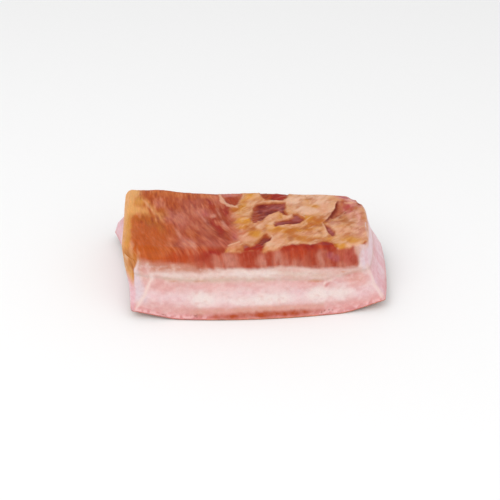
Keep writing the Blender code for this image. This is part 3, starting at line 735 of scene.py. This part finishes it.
def paintDried():
    # the lean in the windows: patches, wrinkles and a browner rim
    colour = allOver(driedFinish["plain"])
    colour = layPatches(colour, bendX, bendY, driedFinish["stains"], lumps + crumbs)
    colour = tint(colour, driedFinish["lightWrinkles"], ramp(wrinkles, 0.08, 0.5))
    colour = tint(colour, driedFinish["darkWrinkles"], ramp(-wrinkles, 0.08, 0.5))
    return tint(colour, driedFinish["rim"], softly(0.6 - driedField + 0.6 * lumps, 2.0))


# the recess: a brown-red tint with painted shade, and a painted shadow along the flap's edge
recessTintAndShade = {"shade": ((182, 92, 66), 0.9), "flapShadow": ((124, 48, 20), 0.9)}
leftEndFinish = {
    "plain": (220, 158, 84), "brown": ((190, 100, 48), 1.0), "light": ((232, 182, 128), 0.9),
    "corner": ((204, 132, 66), 0.7), "lightLines": ((234, 188, 148), 1.3), "brownLines": ((166, 92, 44), 1.1)}


def paintLeftEnd():
    # smoked ochre with soft light and brown clouds
    clouds = roughNoise(base, (9.0, 8.0, 13.0), seed=85)
    colour = allOver(leftEndFinish["plain"])
    colour = tint(colour, leftEndFinish["brown"], 0.9 * clouds + 0.03 * (h - 40.0))
    return tint(colour, leftEndFinish["light"], -clouds)


def paintTop():
    # muscle, the film over it, its rolled edges and windows, the recess with its painted shade and shadow,
    # and the left end
    colour = lay(paintMuscle(), paintFilm(), film)
    colour = tint(colour, filmFinish["rolled"], softly(rolledField + 0.4 * crumbs, 1.5))
    colour = tint(colour, filmFinish["windowRim"], film * softly(driedField + 0.8 + 1.2 * lumps, 2.4))
    colour = lay(colour, paintDried(), driedMask)
    # painted shade over the recess, and painted shadow darkest along the flap's edge
    colour = tint(colour, recessTintAndShade["shade"], recess)
    colour = tint(colour, recessTintAndShade["flapShadow"], recess * (1.0 - ramp(ledgePast, 0.4, 1.8)))
    colour = lay(colour, paintLeftEnd(), leftFace * ramp(-h, -53.0, 12.0))
    # fine light and brown lines run down the front left corner
    linePath = np.stack([along + 0.25 * (h - 40.0), 0.3 * y, 0.12 * h], axis=1)
    lines = roughNoise(linePath, 1.5, seed=87, octaves=2)
    corner = ramp(-along, 89.0, 4.0) * ramp(-v, 0.74, 0.16) * ramp(-h, -53.0, 9.0)
    colour = tint(colour, leftEndFinish["corner"], corner)
    colour = tint(colour, leftEndFinish["lightLines"], lines * corner)
    return tint(colour, leftEndFinish["brownLines"], -lines * corner)


cutFinish = {
    "plain": (190, 96, 74), "top": ((158, 54, 30), 0.75), "foot": ((200, 116, 94), 0.6),
    "lightStrands": ((212, 134, 112), 0.6), "darkStrands": ((146, 50, 30), 0.65),
    "stains": {
        "orangeLeft": ((186, 84, 42), 0.9, 12, ((-72, 46, 24, 40),)),
        "paleLeftEnd": ((204, 140, 108), 0.9, 6, ((-101, 46, 6, 40),)),
        "brownLeft": ((180, 84, 64), 0.8, 6, ((-36, 44, 5, 30),)),
        "redUprights": ((172, 70, 50), 0.9, 6, ((0, 46, 7, 30), (17, 46, 4, 30), (54, 46, 4, 30),
            (71, 46, 3, 30))),
        "paleUprights": ((203, 128, 108), 0.75, 6, ((-26, 41, 4.5, 13, 8), (-14, 42, 6, 14, -6),
            (11, 41, 3.4, 12), (24, 43, 4, 13, 6), (41, 38, 6, 6), (59, 41, 3, 14, -4),
            (79, 37, 5, 3))),
        "redRightEnd": ((186, 88, 78), 0.6, 6, ((86, 44, 6, 7),)),
        "smokedTop": ((182, 70, 38), 0.6, 5, ((-6, 54, 56, 3.5),)),
        "paleFoot": ((206, 136, 108), 0.8, 5, ((-72, 41, 22, 3), (-52, 39, 12, 3), (-90, 42, 6, 6))),
        "darkTop": ((164, 58, 32), 0.7, 6, ((-36, 50, 8, 4), (-12, 53, 12, 2), (46, 54, 13, 3.5),
            (4, 52, 8, 3.5), (66, 55, 6, 3))),
        "orangeSpots": ((188, 72, 34), 0.7, 6, ((-70, 47, 17, 4), (42, 49, 9, 3.5))),
        "paleSpots": ((206, 138, 120), 0.6, 4, ((-16, 46, 5, 6, 20), (11, 44, 3, 4), (24, 47, 2.4, 5),
            (40, 38.5, 6, 1.5), (60, 42, 2, 6), (31, 42, 1.6, 2.4), (55, 37, 8, 1.2))),
        "redFoot": ((166, 62, 46), 0.65, 2.4, ((-14, 39.5, 3, 1.3), (23.5, 42, 1.0, 4, -8),
            (15.5, 43, 1.4, 4), (69.5, 42, 0.8, 6, 4), (44, 45, 1.2, 3), (62.5, 42, 0.7, 5),
            (89, 40, 2.6, 4))),
        "mauveRight": ((180, 96, 104), 0.6, 4, ((74, 43, 4, 3.5), (95, 50, 3, 3), (68, 46, 3, 3)))}}


def paintCutLean(face, level):
    # darker towards the top and paler towards the foot, with patches and upright streaks
    top = ramp(level + 2.0 * lumps, 50.0, 4.0) * ramp(face, 24.0, 6.0)
    foot = ramp(3.0 * lumps + 1.5 * drapes - level, -43.5, 5.0) * ramp(face, -12.0, 8.0)
    colour = tint(tint(allOver(cutFinish["plain"]), cutFinish["top"], top), cutFinish["foot"], foot)
    colour = layPatches(colour, face, level, cutFinish["stains"], lumps + drapes)
    strands = 0.45 * drapes + 0.5 * roughNoise(base, (2.6, 3.0, 3.6), seed=45) + 0.25 * fineFibres
    colour = tint(colour, cutFinish["lightStrands"], strands)
    return tint(colour, cutFinish["darkStrands"], -strands)


fatFinish = {
    "levels": ((3, 224, 143, 140), (15, 241, 217, 215), (25, 229, 180, 177), (29.5, 227, 190, 180),
               (34, 238, 208, 199), (44, 222, 176, 158)),
    "bluish": ((228, 208, 214), 0.8), "lightMottle": ((246, 226, 222), 0.5),
    "darkMottle": ((214, 150, 142), 0.5), "crease": ((244, 216, 208), 0.85),
    "seam": ((216, 180, 160), 0.5), "aboveSmoke": ((222, 160, 140), 0.6),
    "smoke": ((182, 79, 36), 0.92), "rindEdge": ((222, 148, 116), 0.75),
    "betweenNubs": ((218, 142, 144), 0.4), "nubs": ((250, 204, 204), 0.7),
    "specks": ((158, 98, 86), 0.75),
    "smokePatches": ((6, 4.0, 34, 1.7), (20, 4.2, 20, 2.0), (-22, 3.3, 18, 1.6), (2, 4.0, 12, 2.0)),
    "aboveSmokePatches": ((2, 6.5, 42, 3.0),),
    "speckPatches": ((-51, 4, 7, 2.4), (54, 4.2, 8, 2.6), (-75, 3, 10, 1.5), (90, 3, 9, 1.2)),
    "stains": {
        "salmonUnderTheLean": ((209, 140, 117), 0.9, 6, ((-68, 38.8, 25, 4.8), (-50, 37.8, 10, 2.4),
            (-91, 39, 5, 7))),
        "brownUnderTheLean": ((196, 128, 104), 0.7, 4, ((-52, 38.5, 3, 2.6), (-44, 39, 5, 2.4),
            (-75, 41.5, 8, 1.6))),
        "paleLines": ((226, 184, 166), 0.7, 2.4, ((-86, 42, 1.2, 5, -12), (-64, 40, 1.2, 2.4, -20),
            (-92, 38, 0.8, 8, -14))),
        "pinkPatches": ((232, 172, 166), 0.7, 5, ((44, 23.5, 13, 2.6), (88, 22, 9, 6),
            (-30, 24.5, 12, 2.6), (-3, 25, 6, 2.4), (84, 3.6, 16, 2.8), (-74, 24, 10, 4),
            (62, 4, 14, 1.8))),
        "lightUnderTheSeam": ((241, 204, 201), 0.6, 5, ((-27, 23, 8, 2.6), (14, 23.5, 20, 2.8))),
        "pinkLeft": ((227, 174, 169), 0.7, 7, ((-70, 8, 22, 6), (-78, 28, 12, 5), (-64, 26, 10, 2.5),
            (-88, 36, 5, 6))),
        "lilacPink": ((236, 194, 197), 0.7, 7, ((-74, 16, 19, 4), (34, 17, 7, 4), (-5, 19, 8, 3),
            (92, 13, 8, 4))),
        "whitePatches": ((243, 226, 220), 0.75, 6, ((-44, 16, 8, 5), (8, 15, 20, 3.6), (52, 16, 8, 5),
            (70, 15, 9, 3.6), (-4, 35, 10, 2.4), (10, 34, 10, 2.6), (-66, 34, 12, 1.8))),
        "creamByTheSeam": ((224, 200, 182), 0.55, 4.5, ((-52, 30, 14, 1.2), (-22, 30.5, 14, 1.2),
            (36, 32, 9, 1.6), (55, 30, 5, 1.2), (-2, 29.5, 9, 1.0), (27, 34.5, 5, 1.4))),
        "tanFoot": ((216, 160, 140), 0.6, 4, ((-46, 6.5, 8, 1.6), (12, 8.5, 30, 1.2),
            (-20, 8, 22, 1.2), (-50, 38, 3, 1.8))),
        "whiteNicks": ((246, 218, 210), 0.8, 2.2, ((58.4, 24, 1.0, 2.4, -20), (-41, 31, 0.8, 2.6, -25),
            (65, 25.6, 5, 0.8, 14))),
        "pinkInnerRight": ((226, 168, 156), 0.7, 5, ((68, 33, 8, 1.8), (82, 33, 6, 1.8),
            (40, 36.5, 7, 1.2), (86, 25, 8, 3))),
        "lilacRightCorner": ((236, 213, 221), 0.85, 5, ((98, 43, 4.5, 14),)),
        "redStreaks": ((212, 128, 124), 0.75, 2.2, ((85, 28.6, 6, 1.0, 7), (61, 22.6, 2, 0.8, 20))),
        "ochreStreaks": ((212, 138, 104), 0.75, 1.8, ((51, 26, 5, 0.9, -6), (-43, 28.6, 3.4, 0.7, 4),
            (78, 30.2, 2, 0.7), (-66, 28.4, 2.4, 0.7)))}}
endFinish = {
    "pink": (234, 171, 180), "white": ((241, 206, 213), 1.0), "inner": ((238, 210, 216), 0.7),
    "belowSeam": ((224, 172, 170), 1.0), "rim": ((226, 168, 128), 0.55)}


def paintEnds():
    # the fat at both ends: pink and white clouds, a darker line below the seam, a tan rim
    clouds = roughNoise(base, (9.0, 7.0, 14.0), seed=81, octaves=3)
    colour = tint(allOver(endFinish["pink"]), endFinish["white"], 0.5 + 0.9 * clouds)
    colour = tint(colour, endFinish["inner"], softly(h - seamHeight - 1.0, 3.0))
    belowSeam = 0.4 * ridge(h + 3.0 * lumps, seamHeight - 3.0, 4.0) + 0.3 * ramp(-h, -9.0, 7.0)
    colour = tint(colour, endFinish["belowSeam"], belowSeam)
    return tint(colour, endFinish["rim"], softly(h - wrapHeight + 4.0 + 2.0 * lumps, 6.0))


def paintFat(face, level):
    # bands by height, patches, the ends, mottling, creases lit by painted highlights, the seam and the smoked
    # foot
    colour = bands(level, fatFinish["levels"])
    colour = layPatches(colour, face, level, fatFinish["stains"], 1.2 * lumps + crumbs)
    bluish = ramp(-along - 0.25 * (h - 20.0), 88.0, 5.0) * ramp(h, 6.0, 8.0)
    colour = tint(colour, fatFinish["bluish"], bluish)
    colour = lay(colour, paintEnds(), endFace)
    mottle = roughNoise(np.stack([x, y, 1.6 * h], axis=1), 3.4, seed=83)
    colour = tint(tint(colour, fatFinish["lightMottle"], mottle), fatFinish["darkMottle"], -mottle)
    # painted highlights along the corner creases
    colour = tint(colour, fatFinish["crease"], softly(creaseField, 2.6))
    seam = ridge(h, seamHeight, 1.2) * ease(0.7 + lumps + crumbs)
    colour = tint(colour, fatFinish["seam"], seam)
    aboveSmoke = softly(patchField(face, h, fatFinish["aboveSmokePatches"]) + lumps, 4.0)
    colour = tint(colour, fatFinish["aboveSmoke"], aboveSmoke)
    smoke = patchField(face, h, fatFinish["smokePatches"]) + 0.7 * lumps + 0.6 * crumbs
    smoke = softly(smoke, 3.0) * (1.0 - endFace)
    colour = tint(colour, fatFinish["smoke"], smoke * (1.0 + 0.35 * crumbs))
    outward = np.abs(face)
    rindEdge = ridge(h, 0.8, 0.8) * ramp(-outward, -50.0, 10.0)
    colour = tint(colour, fatFinish["rindEdge"], rindEdge)
    gaps = ridge(h, nubRow["height"], nubRow["gapHalf"])
    betweenNubs = (1.0 - nubs) * gaps * ramp(outward, 38.0, 10.0)
    colour = tint(colour, fatFinish["betweenNubs"], betweenNubs)
    colour = tint(colour, fatFinish["nubs"], nubs * (1.0 - smoke) * ramp(outward, 34.0, 12.0))
    specks = patchField(face, h, fatFinish["speckPatches"]) + 1.6 * grains + 1.2 * crumbs
    return tint(colour, fatFinish["specks"], softly(specks - 1.9, 0.8))


def paintSides():
    # the front's stains, and on the back face the same ones turned end for end; all darkened as painted
    # shade, to offset the extra light that falls on the sides
    face = np.where(v < 0, along, 8.0 - 0.9 * along) + 1.5 * straySide
    level = h + 0.9 * lumps + 0.4 * crumbs
    return lay(paintFat(face, level), paintCutLean(face, level), leanMask) * studioLight["sides"]


rindFinish = {"plain": (176, 104, 60), "brown": ((146, 78, 44), 1.0)}


def paintRind():
    return tint(allOver(rindFinish["plain"]), rindFinish["brown"], 0.5 + 0.9 * slow)


stain = lay(paintSides(), paintTop(), smoked)
stain = lay(stain, paintRind(), isUnder * ramp(-h, -1.4, 0.8))
print("stains laid")

reliefDepth = {  # millimetres along the normal
    "fibres": 0.16, "bundles": 0.30, "fineFibres": 0.05, "muscle": -0.35,
    "filmLumps": 0.30, "crinkles": 0.16, "filmGrain": 0.03, "rolled": 0.5, "windowRim": 0.22,
    "windows": 0.9, "wrinkles": 0.35, "recess": 0.5, "overhang": 0.3,
    "waves": 0.36, "sideCrumbs": 0.10, "sideGrain": 0.05, "seam": 0.16,
    "drapes": 0.16, "cutFibres": 0.05, "cutLean": -0.20, "crease": 0.30, "nubs": 0.28,
    "rind": 0.10, "flatHalf": 48.0}   # the rind's middle stays flat this far out


def finishRelief():
    # sum of what every finish raises or sinks, each where it shows
    depth = reliefDepth
    strands = depth["fibres"] * fibres + depth["bundles"] * bundles + depth["fineFibres"] * fineFibres
    relief = topWeight * (1.0 - film) * (strands + depth["muscle"])
    crinkles = 1.0 - 2.0 * np.abs(roughNoise(filmFlow, (4.0, 11.0, 4.0), seed=91, octaves=2))
    filmForm = depth["filmLumps"] * lumps + depth["crinkles"] * crinkles + depth["filmGrain"] * grains
    relief += topWeight * film * (1.0 - driedMask) * filmForm
    relief -= driedMask * (depth["windows"] - depth["wrinkles"] * wrinkles)
    relief += topWeight * depth["rolled"] * softly(rolledField, 2.0)
    relief += topWeight * film * depth["windowRim"] * ridge(driedField, -1.0, 0.9)
    relief -= depth["recess"] * recess
    sideForm = depth["waves"] * roughNoise(base, 15.0, seed=93)
    sideForm += depth["sideCrumbs"] * crumbs + depth["sideGrain"] * grains
    relief += sideWeight * sideForm
    relief -= sideWeight * depth["seam"] * ridge(h, seamHeight, 1.2) * (0.6 + 0.8 * lumps)
    cutForm = depth["drapes"] * drapes + depth["cutFibres"] * fineFibres + depth["cutLean"]
    relief += sideWeight * leanMask * cutForm
    relief += depth["crease"] * softly(creaseField, 4.0) * sideWeight + depth["nubs"] * nubs
    relief[isUnder] = depth["rind"] * slow[isUnder]
    relief[isUnder & (np.abs(x) < depth["flatHalf"])] = 0.0
    return relief


relief = finishRelief()
finished = base + normals * relief[:, None]
# the flap's end stands over the recess
finished[:, 0] += reliefDepth["overhang"] * ridge(ledgePast, 0.1, 0.8) * ledgeReach
finished[:, 2] = np.maximum(finished[:, 2], 0.0)
finishedNormals = pointNormals(finished, skinQuads)
placed = np.clip((finished + centring) * mm, cadLow, cadHigh)
print("relief from", relief.min().round(2), "to", relief.max().round(2), "mm")


def hiddenFace(edge, sheet, lift, used):
    # rings that shrink from a layer's edge to one point on a sheet inside the slab
    edgeU, edgeV = u[edge], v[edge]
    shares = np.append(np.linspace(1.0, 0.0, skinGrid["hiddenRings"] + 1)[1:-1], 0.0)
    insideU, insideV = (shares[:-1, None] * edgeU).ravel(), (shares[:-1, None] * edgeV).ravel()
    insideU, insideV = np.append(insideU, 0.0), np.append(insideV, 0.0)
    points = slabPoint(insideU, insideV, sheet(insideU, insideV) + lift)
    loops = used + np.arange(len(points) - 1).reshape(-1, len(edge))
    middle = used + len(points) - 1
    fan = np.stack([loops[-1], np.roll(loops[-1], -1), np.full(len(edge), middle)], axis=-1)
    return (points + centring) * mm, loops, fan


def makeLayer(name, firstRow, lastRow, skinCells, fan, lowerSheet, upperSheet):
    # one layer: its share of the skin, and the hidden faces that close it
    cells = np.concatenate([skin["sideQuads"][firstRow:lastRow].reshape(-1, 4)] + skinCells)
    kept = np.unique(np.concatenate([cells.ravel(), fan.ravel()]))
    local = np.full(len(placed), -1)
    local[kept] = np.arange(len(kept))
    cells, triangles, points = local[cells], [local[fan]], [placed[kept]]
    used, skinCount = len(kept), len(cells)
    gap = skinGrid["hiddenGap"]
    for row, sheet, lift in ((firstRow, lowerSheet, gap), (lastRow, upperSheet, -gap)):
        if sheet is None:
            continue
        edge = skin["sideIds"][row]
        inside, loops, closing = hiddenFace(edge, sheet, lift, used)
        loops = np.concatenate([local[edge][None], loops])
        rings = np.concatenate([ringCells(outer, inner) for outer, inner in zip(loops, loops[1:])])
        facing = 1 if sheet is upperSheet else -1
        cells = np.concatenate([cells, rings[:, ::facing]])
        triangles.append(closing[:, ::facing])
        points.append(inside)
        used += len(inside)
    mesh = bpy.data.meshes.new(name)
    faces = cells.tolist() + np.concatenate(triangles).tolist()
    mesh.from_pydata(np.concatenate(points), [], faces)
    mesh.polygons.foreach_set("use_smooth", np.arange(len(faces)) < skinCount)
    facing = np.tile((0.0, 0.0, 1.0), (used, 1))
    facing[:len(kept)] = finishedNormals[kept]
    mesh.normals_split_custom_set_from_vertices(facing)
    for key, values in skinRecords.items():
        filled = np.zeros((used, values.shape[1]), np.float32)
        filled[:len(kept)] = values[kept]
        kind, field = ("FLOAT_VECTOR", "vector") if values.shape[1] == 3 else ("FLOAT_COLOR", "color")
        mesh.attributes.new(key, kind, "POINT").data.foreach_set(field, filled.ravel())
    piece = bpy.data.objects.new(name, mesh)
    bpy.context.scene.collection.objects.link(piece)
    print("layer", name, used, "points,", sum(len(face) - 2 for face in faces), "triangles")
    return piece


fibrous = np.clip(topWeight * (1.0 - film) + sideWeight * leanMask, 0.0, 1.0)
skinRecords = {
    "stain": np.column_stack([np.clip(stain, 0.0, 1.0), np.ones(len(base))]),
    "finishMasks": np.column_stack([fibrous, driedMask, film * topWeight * smoked, isUnder]),
    "fibrePath": fibrePath * mm}


def put(tree, kind, sockets=None, **settings):
    # one node, its settings, then its sockets: a number is set, an output is linked
    node = tree.nodes.new(kind)
    for key, value in settings.items():
        setattr(node, key, value)
    for key, value in (sockets or {}).items():
        if isinstance(value, bpy.types.NodeSocket):
            tree.links.new(value, node.inputs[key])
        else:
            node.inputs[key].default_value = value
    return node


def sums(tree, operation, first, second=0.0, third=0.0, clamp=False):
    sockets = {0: first, 1: second, 2: third}
    return put(tree, "ShaderNodeMath", sockets, operation=operation, use_clamp=clamp).outputs[0]


def newGroup(name, inputs, output):
    # a node group with number and vector inputs and one number output
    group = bpy.data.node_groups.new(name, "ShaderNodeTree")
    for label, value in inputs:
        kind = "NodeSocketVector" if value is None else "NodeSocketFloat"
        socket = group.interface.new_socket(label, in_out="INPUT", socket_type=kind)
        if value is not None:
            socket.default_value = value
    group.interface.new_socket(output, in_out="OUTPUT", socket_type="NodeSocketFloat")
    return group, put(group, "NodeGroupInput").outputs, put(group, "NodeGroupOutput").inputs


meatGrain = {  # width, length, height and contrast, then size, detail and contrast, in metres
    "thread": (0.0006, 0.006, 0.02, 1.8), "strand": (0.0015, 0.010, 0.03, 1.8),
    "speck": (0.0007, 4.0, 2.0), "mottle": (0.0030, 3.0, 1.8), "cloud": (0.014, 2.0, 2.2),
    "streakDetail": 3.5, "streakRoughness": 0.55, "rindBlotches": 0.6,
    "driedGloss": -0.05, "rindDullness": 0.25, "refraction": 1.39, "lightDepth": 0.003,
    "bumpHeight": 0.0003, "threadBump": 0.5, "speckBump": 0.4, "mottleBump": 0.7}


def stretched(tree, noise, contrast):
    # noise stretched about one half
    centred = sums(tree, "SUBTRACT", noise, 0.5)
    return sums(tree, "MULTIPLY_ADD", centred, contrast, 0.5, clamp=True)


def makeGrain():
    # soft lumps of one size with finer ones inside, 0 to 1 about one half
    inputs = ("Place", None), ("Size", 0.004), ("Detail", 3.0), ("Contrast", 1.6)
    group, given, result = newGroup("grain", inputs, "Value")
    noise = put(group, "ShaderNodeTexNoise", {"Vector": given["Place"], "Detail": given["Detail"],
                                              "Scale": sums(group, "DIVIDE", 1.0, given["Size"])}).outputs[0]
    group.links.new(stretched(group, noise, given["Contrast"]), result["Value"])
    return group


def makeStreaks():
    # noise drawn out along the second and third axis of a path, as fibres are
    inputs = ("Path", None), ("Width", 0.002), ("Length", 0.02), ("Height", 0.02), ("Contrast", 1.8)
    group, given, result = newGroup("streaks", inputs, "Value")
    lengths = {0: given["Width"], 1: given["Length"], 2: given["Height"]}
    size = put(group, "ShaderNodeCombineXYZ", lengths).outputs[0]
    drawn = put(group, "ShaderNodeVectorMath", {0: given["Path"], 1: size}, operation="DIVIDE").outputs[0]
    look = {"Vector": drawn, "Scale": 1.0, "Detail": meatGrain["streakDetail"],
            "Roughness": meatGrain["streakRoughness"]}
    noise = put(group, "ShaderNodeTexNoise", look).outputs[0]
    group.links.new(stretched(group, noise, given["Contrast"]), result["Value"])
    return group


grainGroup, streakGroup = makeGrain(), makeStreaks()
meatFinish = {
    "lean": {"specular": 0.32, "subsurface": 0.10, "radius": (1.0, 0.30, 0.18),
             "fibre": 0.20, "speck": 0.07, "gloss": (0.34, 0.26), "bump": 0.34},
    "innerFat": {"specular": 0.5, "subsurface": 0.25, "radius": (1.0, 0.55, 0.40),
                 "fibre": 0.20, "speck": 0.06, "gloss": (0.36, 0.18), "bump": 0.35},
    "outerFat": {"specular": 0.5, "subsurface": 0.25, "radius": (1.0, 0.50, 0.38),
                 "fibre": 0.20, "speck": 0.06, "gloss": (0.36, 0.18), "bump": 0.35}}


def makeMeat(name):
    # the stain, broken up by fibres and grain, over the soft depth of meat
    own = meatFinish[name]
    material = bpy.data.materials.new(name)
    material.use_nodes = True
    tree = material.node_tree
    tree.nodes.clear()
    place = put(tree, "ShaderNodeTexCoord").outputs["Object"]
    path = put(tree, "ShaderNodeAttribute", attribute_name="fibrePath").outputs["Vector"]
    colour = put(tree, "ShaderNodeAttribute", attribute_name="stain").outputs["Color"]
    masks = put(tree, "ShaderNodeAttribute", attribute_name="finishMasks")
    parts = put(tree, "ShaderNodeSeparateColor", {0: masks.outputs["Color"]}).outputs
    fibrous, dry, filmed, rind = parts[0], parts[1], parts[2], masks.outputs["Alpha"]

    def grainAt(size, detail, contrast):
        sockets = {"Place": place, "Size": size, "Detail": detail, "Contrast": contrast}
        return put(tree, "ShaderNodeGroup", sockets, node_tree=grainGroup).outputs[0]

    def streakAt(width, length, height, contrast):
        sockets = {"Path": path, "Width": width, "Length": length, "Height": height, "Contrast": contrast}
        return put(tree, "ShaderNodeGroup", sockets, node_tree=streakGroup).outputs[0]

    def averaged(first, second):
        # mean of two masks, less one half
        half = sums(tree, "MULTIPLY", second, 0.5)
        return sums(tree, "SUBTRACT", sums(tree, "MULTIPLY_ADD", first, 0.5, half), 0.5)

    thread, strand = (streakAt(*meatGrain[key]) for key in ("thread", "strand"))
    speck, mottle, cloud = (grainAt(*meatGrain[key]) for key in ("speck", "mottle", "cloud"))
    threads = sums(tree, "MULTIPLY", averaged(thread, strand), own["fibre"] * 2.0)
    darker = sums(tree, "MULTIPLY", threads, fibrous)
    darker = sums(tree, "MULTIPLY_ADD", sums(tree, "SUBTRACT", speck, 0.5), own["speck"] * 2.0, darker)
    darker = sums(tree, "MULTIPLY_ADD", sums(tree, "SUBTRACT", mottle, 0.5), own["speck"], darker)
    blotches = sums(tree, "MULTIPLY", averaged(cloud, mottle), rind)
    darker = sums(tree, "MULTIPLY_ADD", blotches, meatGrain["rindBlotches"], darker)
    lightness = sums(tree, "ADD", darker, 1.0)
    worn = put(tree, "ShaderNodeVectorMath", {0: colour, "Scale": lightness}, operation="SCALE")
    roughness = sums(tree, "MULTIPLY_ADD", cloud, own["gloss"][1], own["gloss"][0])
    roughness = sums(tree, "MULTIPLY_ADD", dry, meatGrain["driedGloss"], roughness)
    roughness = sums(tree, "MULTIPLY_ADD", rind, meatGrain["rindDullness"], roughness)
    height = sums(tree, "MULTIPLY_ADD", thread, meatGrain["threadBump"], strand)
    height = sums(tree, "MULTIPLY", height, fibrous)
    height = sums(tree, "MULTIPLY_ADD", speck, meatGrain["speckBump"], height)
    filmMottle = sums(tree, "MULTIPLY", mottle, filmed)
    height = sums(tree, "MULTIPLY_ADD", filmMottle, meatGrain["mottleBump"], height)
    bump = put(tree, "ShaderNodeBump", {"Strength": own["bump"], "Distance": meatGrain["bumpHeight"],
                                        "Height": height}).outputs[0]
    shader = put(tree, "ShaderNodeBsdfPrincipled", {
        "Base Color": worn.outputs[0], "Roughness": roughness, "Normal": bump,
        "IOR": meatGrain["refraction"], "Specular IOR Level": own["specular"],
        "Subsurface Weight": own["subsurface"], "Subsurface Radius": own["radius"],
        "Subsurface Scale": meatGrain["lightDepth"]})
    put(tree, "ShaderNodeOutputMaterial", {"Surface": shader.outputs[0]})
    return material


seamRow = skinGrid["outerRows"]
floorRow = seamRow + skinGrid["innerRows"]
lastRow = floorRow + skinGrid["leanRows"]
noFan = np.empty((0, 3), int)
layers = (  # piece, node, slot, rows, other cells of the skin, hidden sheets
    ("lean", "lean_layer", "smoked_lean", floorRow, lastRow,
     [skin["topQuads"]], noFan, leanFloor, None),
    ("innerFat", "inner_fat_layer", "inner_fat", seamRow, floorRow,
     [], noFan, seamSheet, leanFloor),
    ("outerFat", "outer_fat_layer", "outer_fat", 0, seamRow,
     [skin["underQuads"]], skin["underFan"], None, seamSheet))
for name, node, slotName, *shape in layers:
    piece = makeLayer(name, *shape)
    piece.data.materials.append(makeMeat(name))
    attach(piece, "root")
    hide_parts(node)

# floor, light and camera
studio = {"floorHalf": 3.0, "floorShade": 0.93, "floorRoughness": 0.9, "world": 0.80,
          "key": 9.0, "keySize": 1.3, "keyPlace": (-0.7, -0.9, 1.3),
          "fill": 4.0, "fillSize": 1.6, "fillPlace": (1.0, -0.9, 0.9), "aim": (0.0, 0.0, 0.02)}
camera = {"place": (0.0, -614.167, 439.936), "pitch": 33.8907, "turn": -0.0227, "roll": 1.0423,
          "lens": 64.8, "sensor": 36.0, "clip": (0.01, 20.0)}


def makeFloor():
    half = studio["floorHalf"]
    mesh = bpy.data.meshes.new("floor")
    corners = [(-half, -half, 0.0), (half, -half, 0.0), (half, half, 0.0), (-half, half, 0.0)]
    mesh.from_pydata(corners, [], [(0, 1, 2, 3)])
    floor = bpy.data.objects.new("floor", mesh)
    bpy.context.scene.collection.objects.link(floor)
    material = bpy.data.materials.new("paleFloor")
    material.use_nodes = True
    shader = material.node_tree.nodes["Principled BSDF"]
    shader.inputs["Base Color"].default_value = (*[studio["floorShade"]] * 3, 1.0)
    shader.inputs["Roughness"].default_value = studio["floorRoughness"]
    mesh.materials.append(material)


def makeAreaLight(name, watts, size, place):
    lamp = bpy.data.lights.new(name, "AREA")
    lamp.energy, lamp.size = watts, size
    light = bpy.data.objects.new(name, lamp)
    light.location = place
    towards = Vector(studio["aim"]) - light.location
    light.rotation_euler = towards.to_track_quat("-Z", "Y").to_euler()
    bpy.context.scene.collection.objects.link(light)


def makeStudio():
    makeFloor()
    world = bpy.data.worlds.new("studio")
    world.use_nodes = True
    sky = world.node_tree.nodes["Background"].inputs
    sky["Color"].default_value = (1.0, 1.0, 1.0, 1.0)
    sky["Strength"].default_value = studio["world"]
    bpy.context.scene.world = world
    makeAreaLight("key", studio["key"], studio["keySize"], studio["keyPlace"])
    makeAreaLight("fill", studio["fill"], studio["fillSize"], studio["fillPlace"])
    bpy.context.scene.view_settings.view_transform = "Standard"


def makeCamera():
    holder = bpy.data.objects.new("camera", bpy.data.cameras.new("camera"))
    holder.data.sensor_width, holder.data.lens = camera["sensor"], camera["lens"]
    holder.data.clip_start, holder.data.clip_end = camera["clip"]
    place = Matrix.Translation((np.array(camera["place"]) + centring) * mm)
    turn = Matrix.Rotation(np.radians(camera["turn"]), 4, "Z")
    tilt = Matrix.Rotation(np.radians(90.0 - camera["pitch"]), 4, "X")
    roll = Matrix.Rotation(np.radians(camera["roll"]), 4, "Z")
    holder.matrix_world = place @ turn @ tilt @ roll
    bpy.context.scene.collection.objects.link(holder)
    bpy.context.scene.camera = holder


makeStudio()
makeCamera()
print("studio ready")
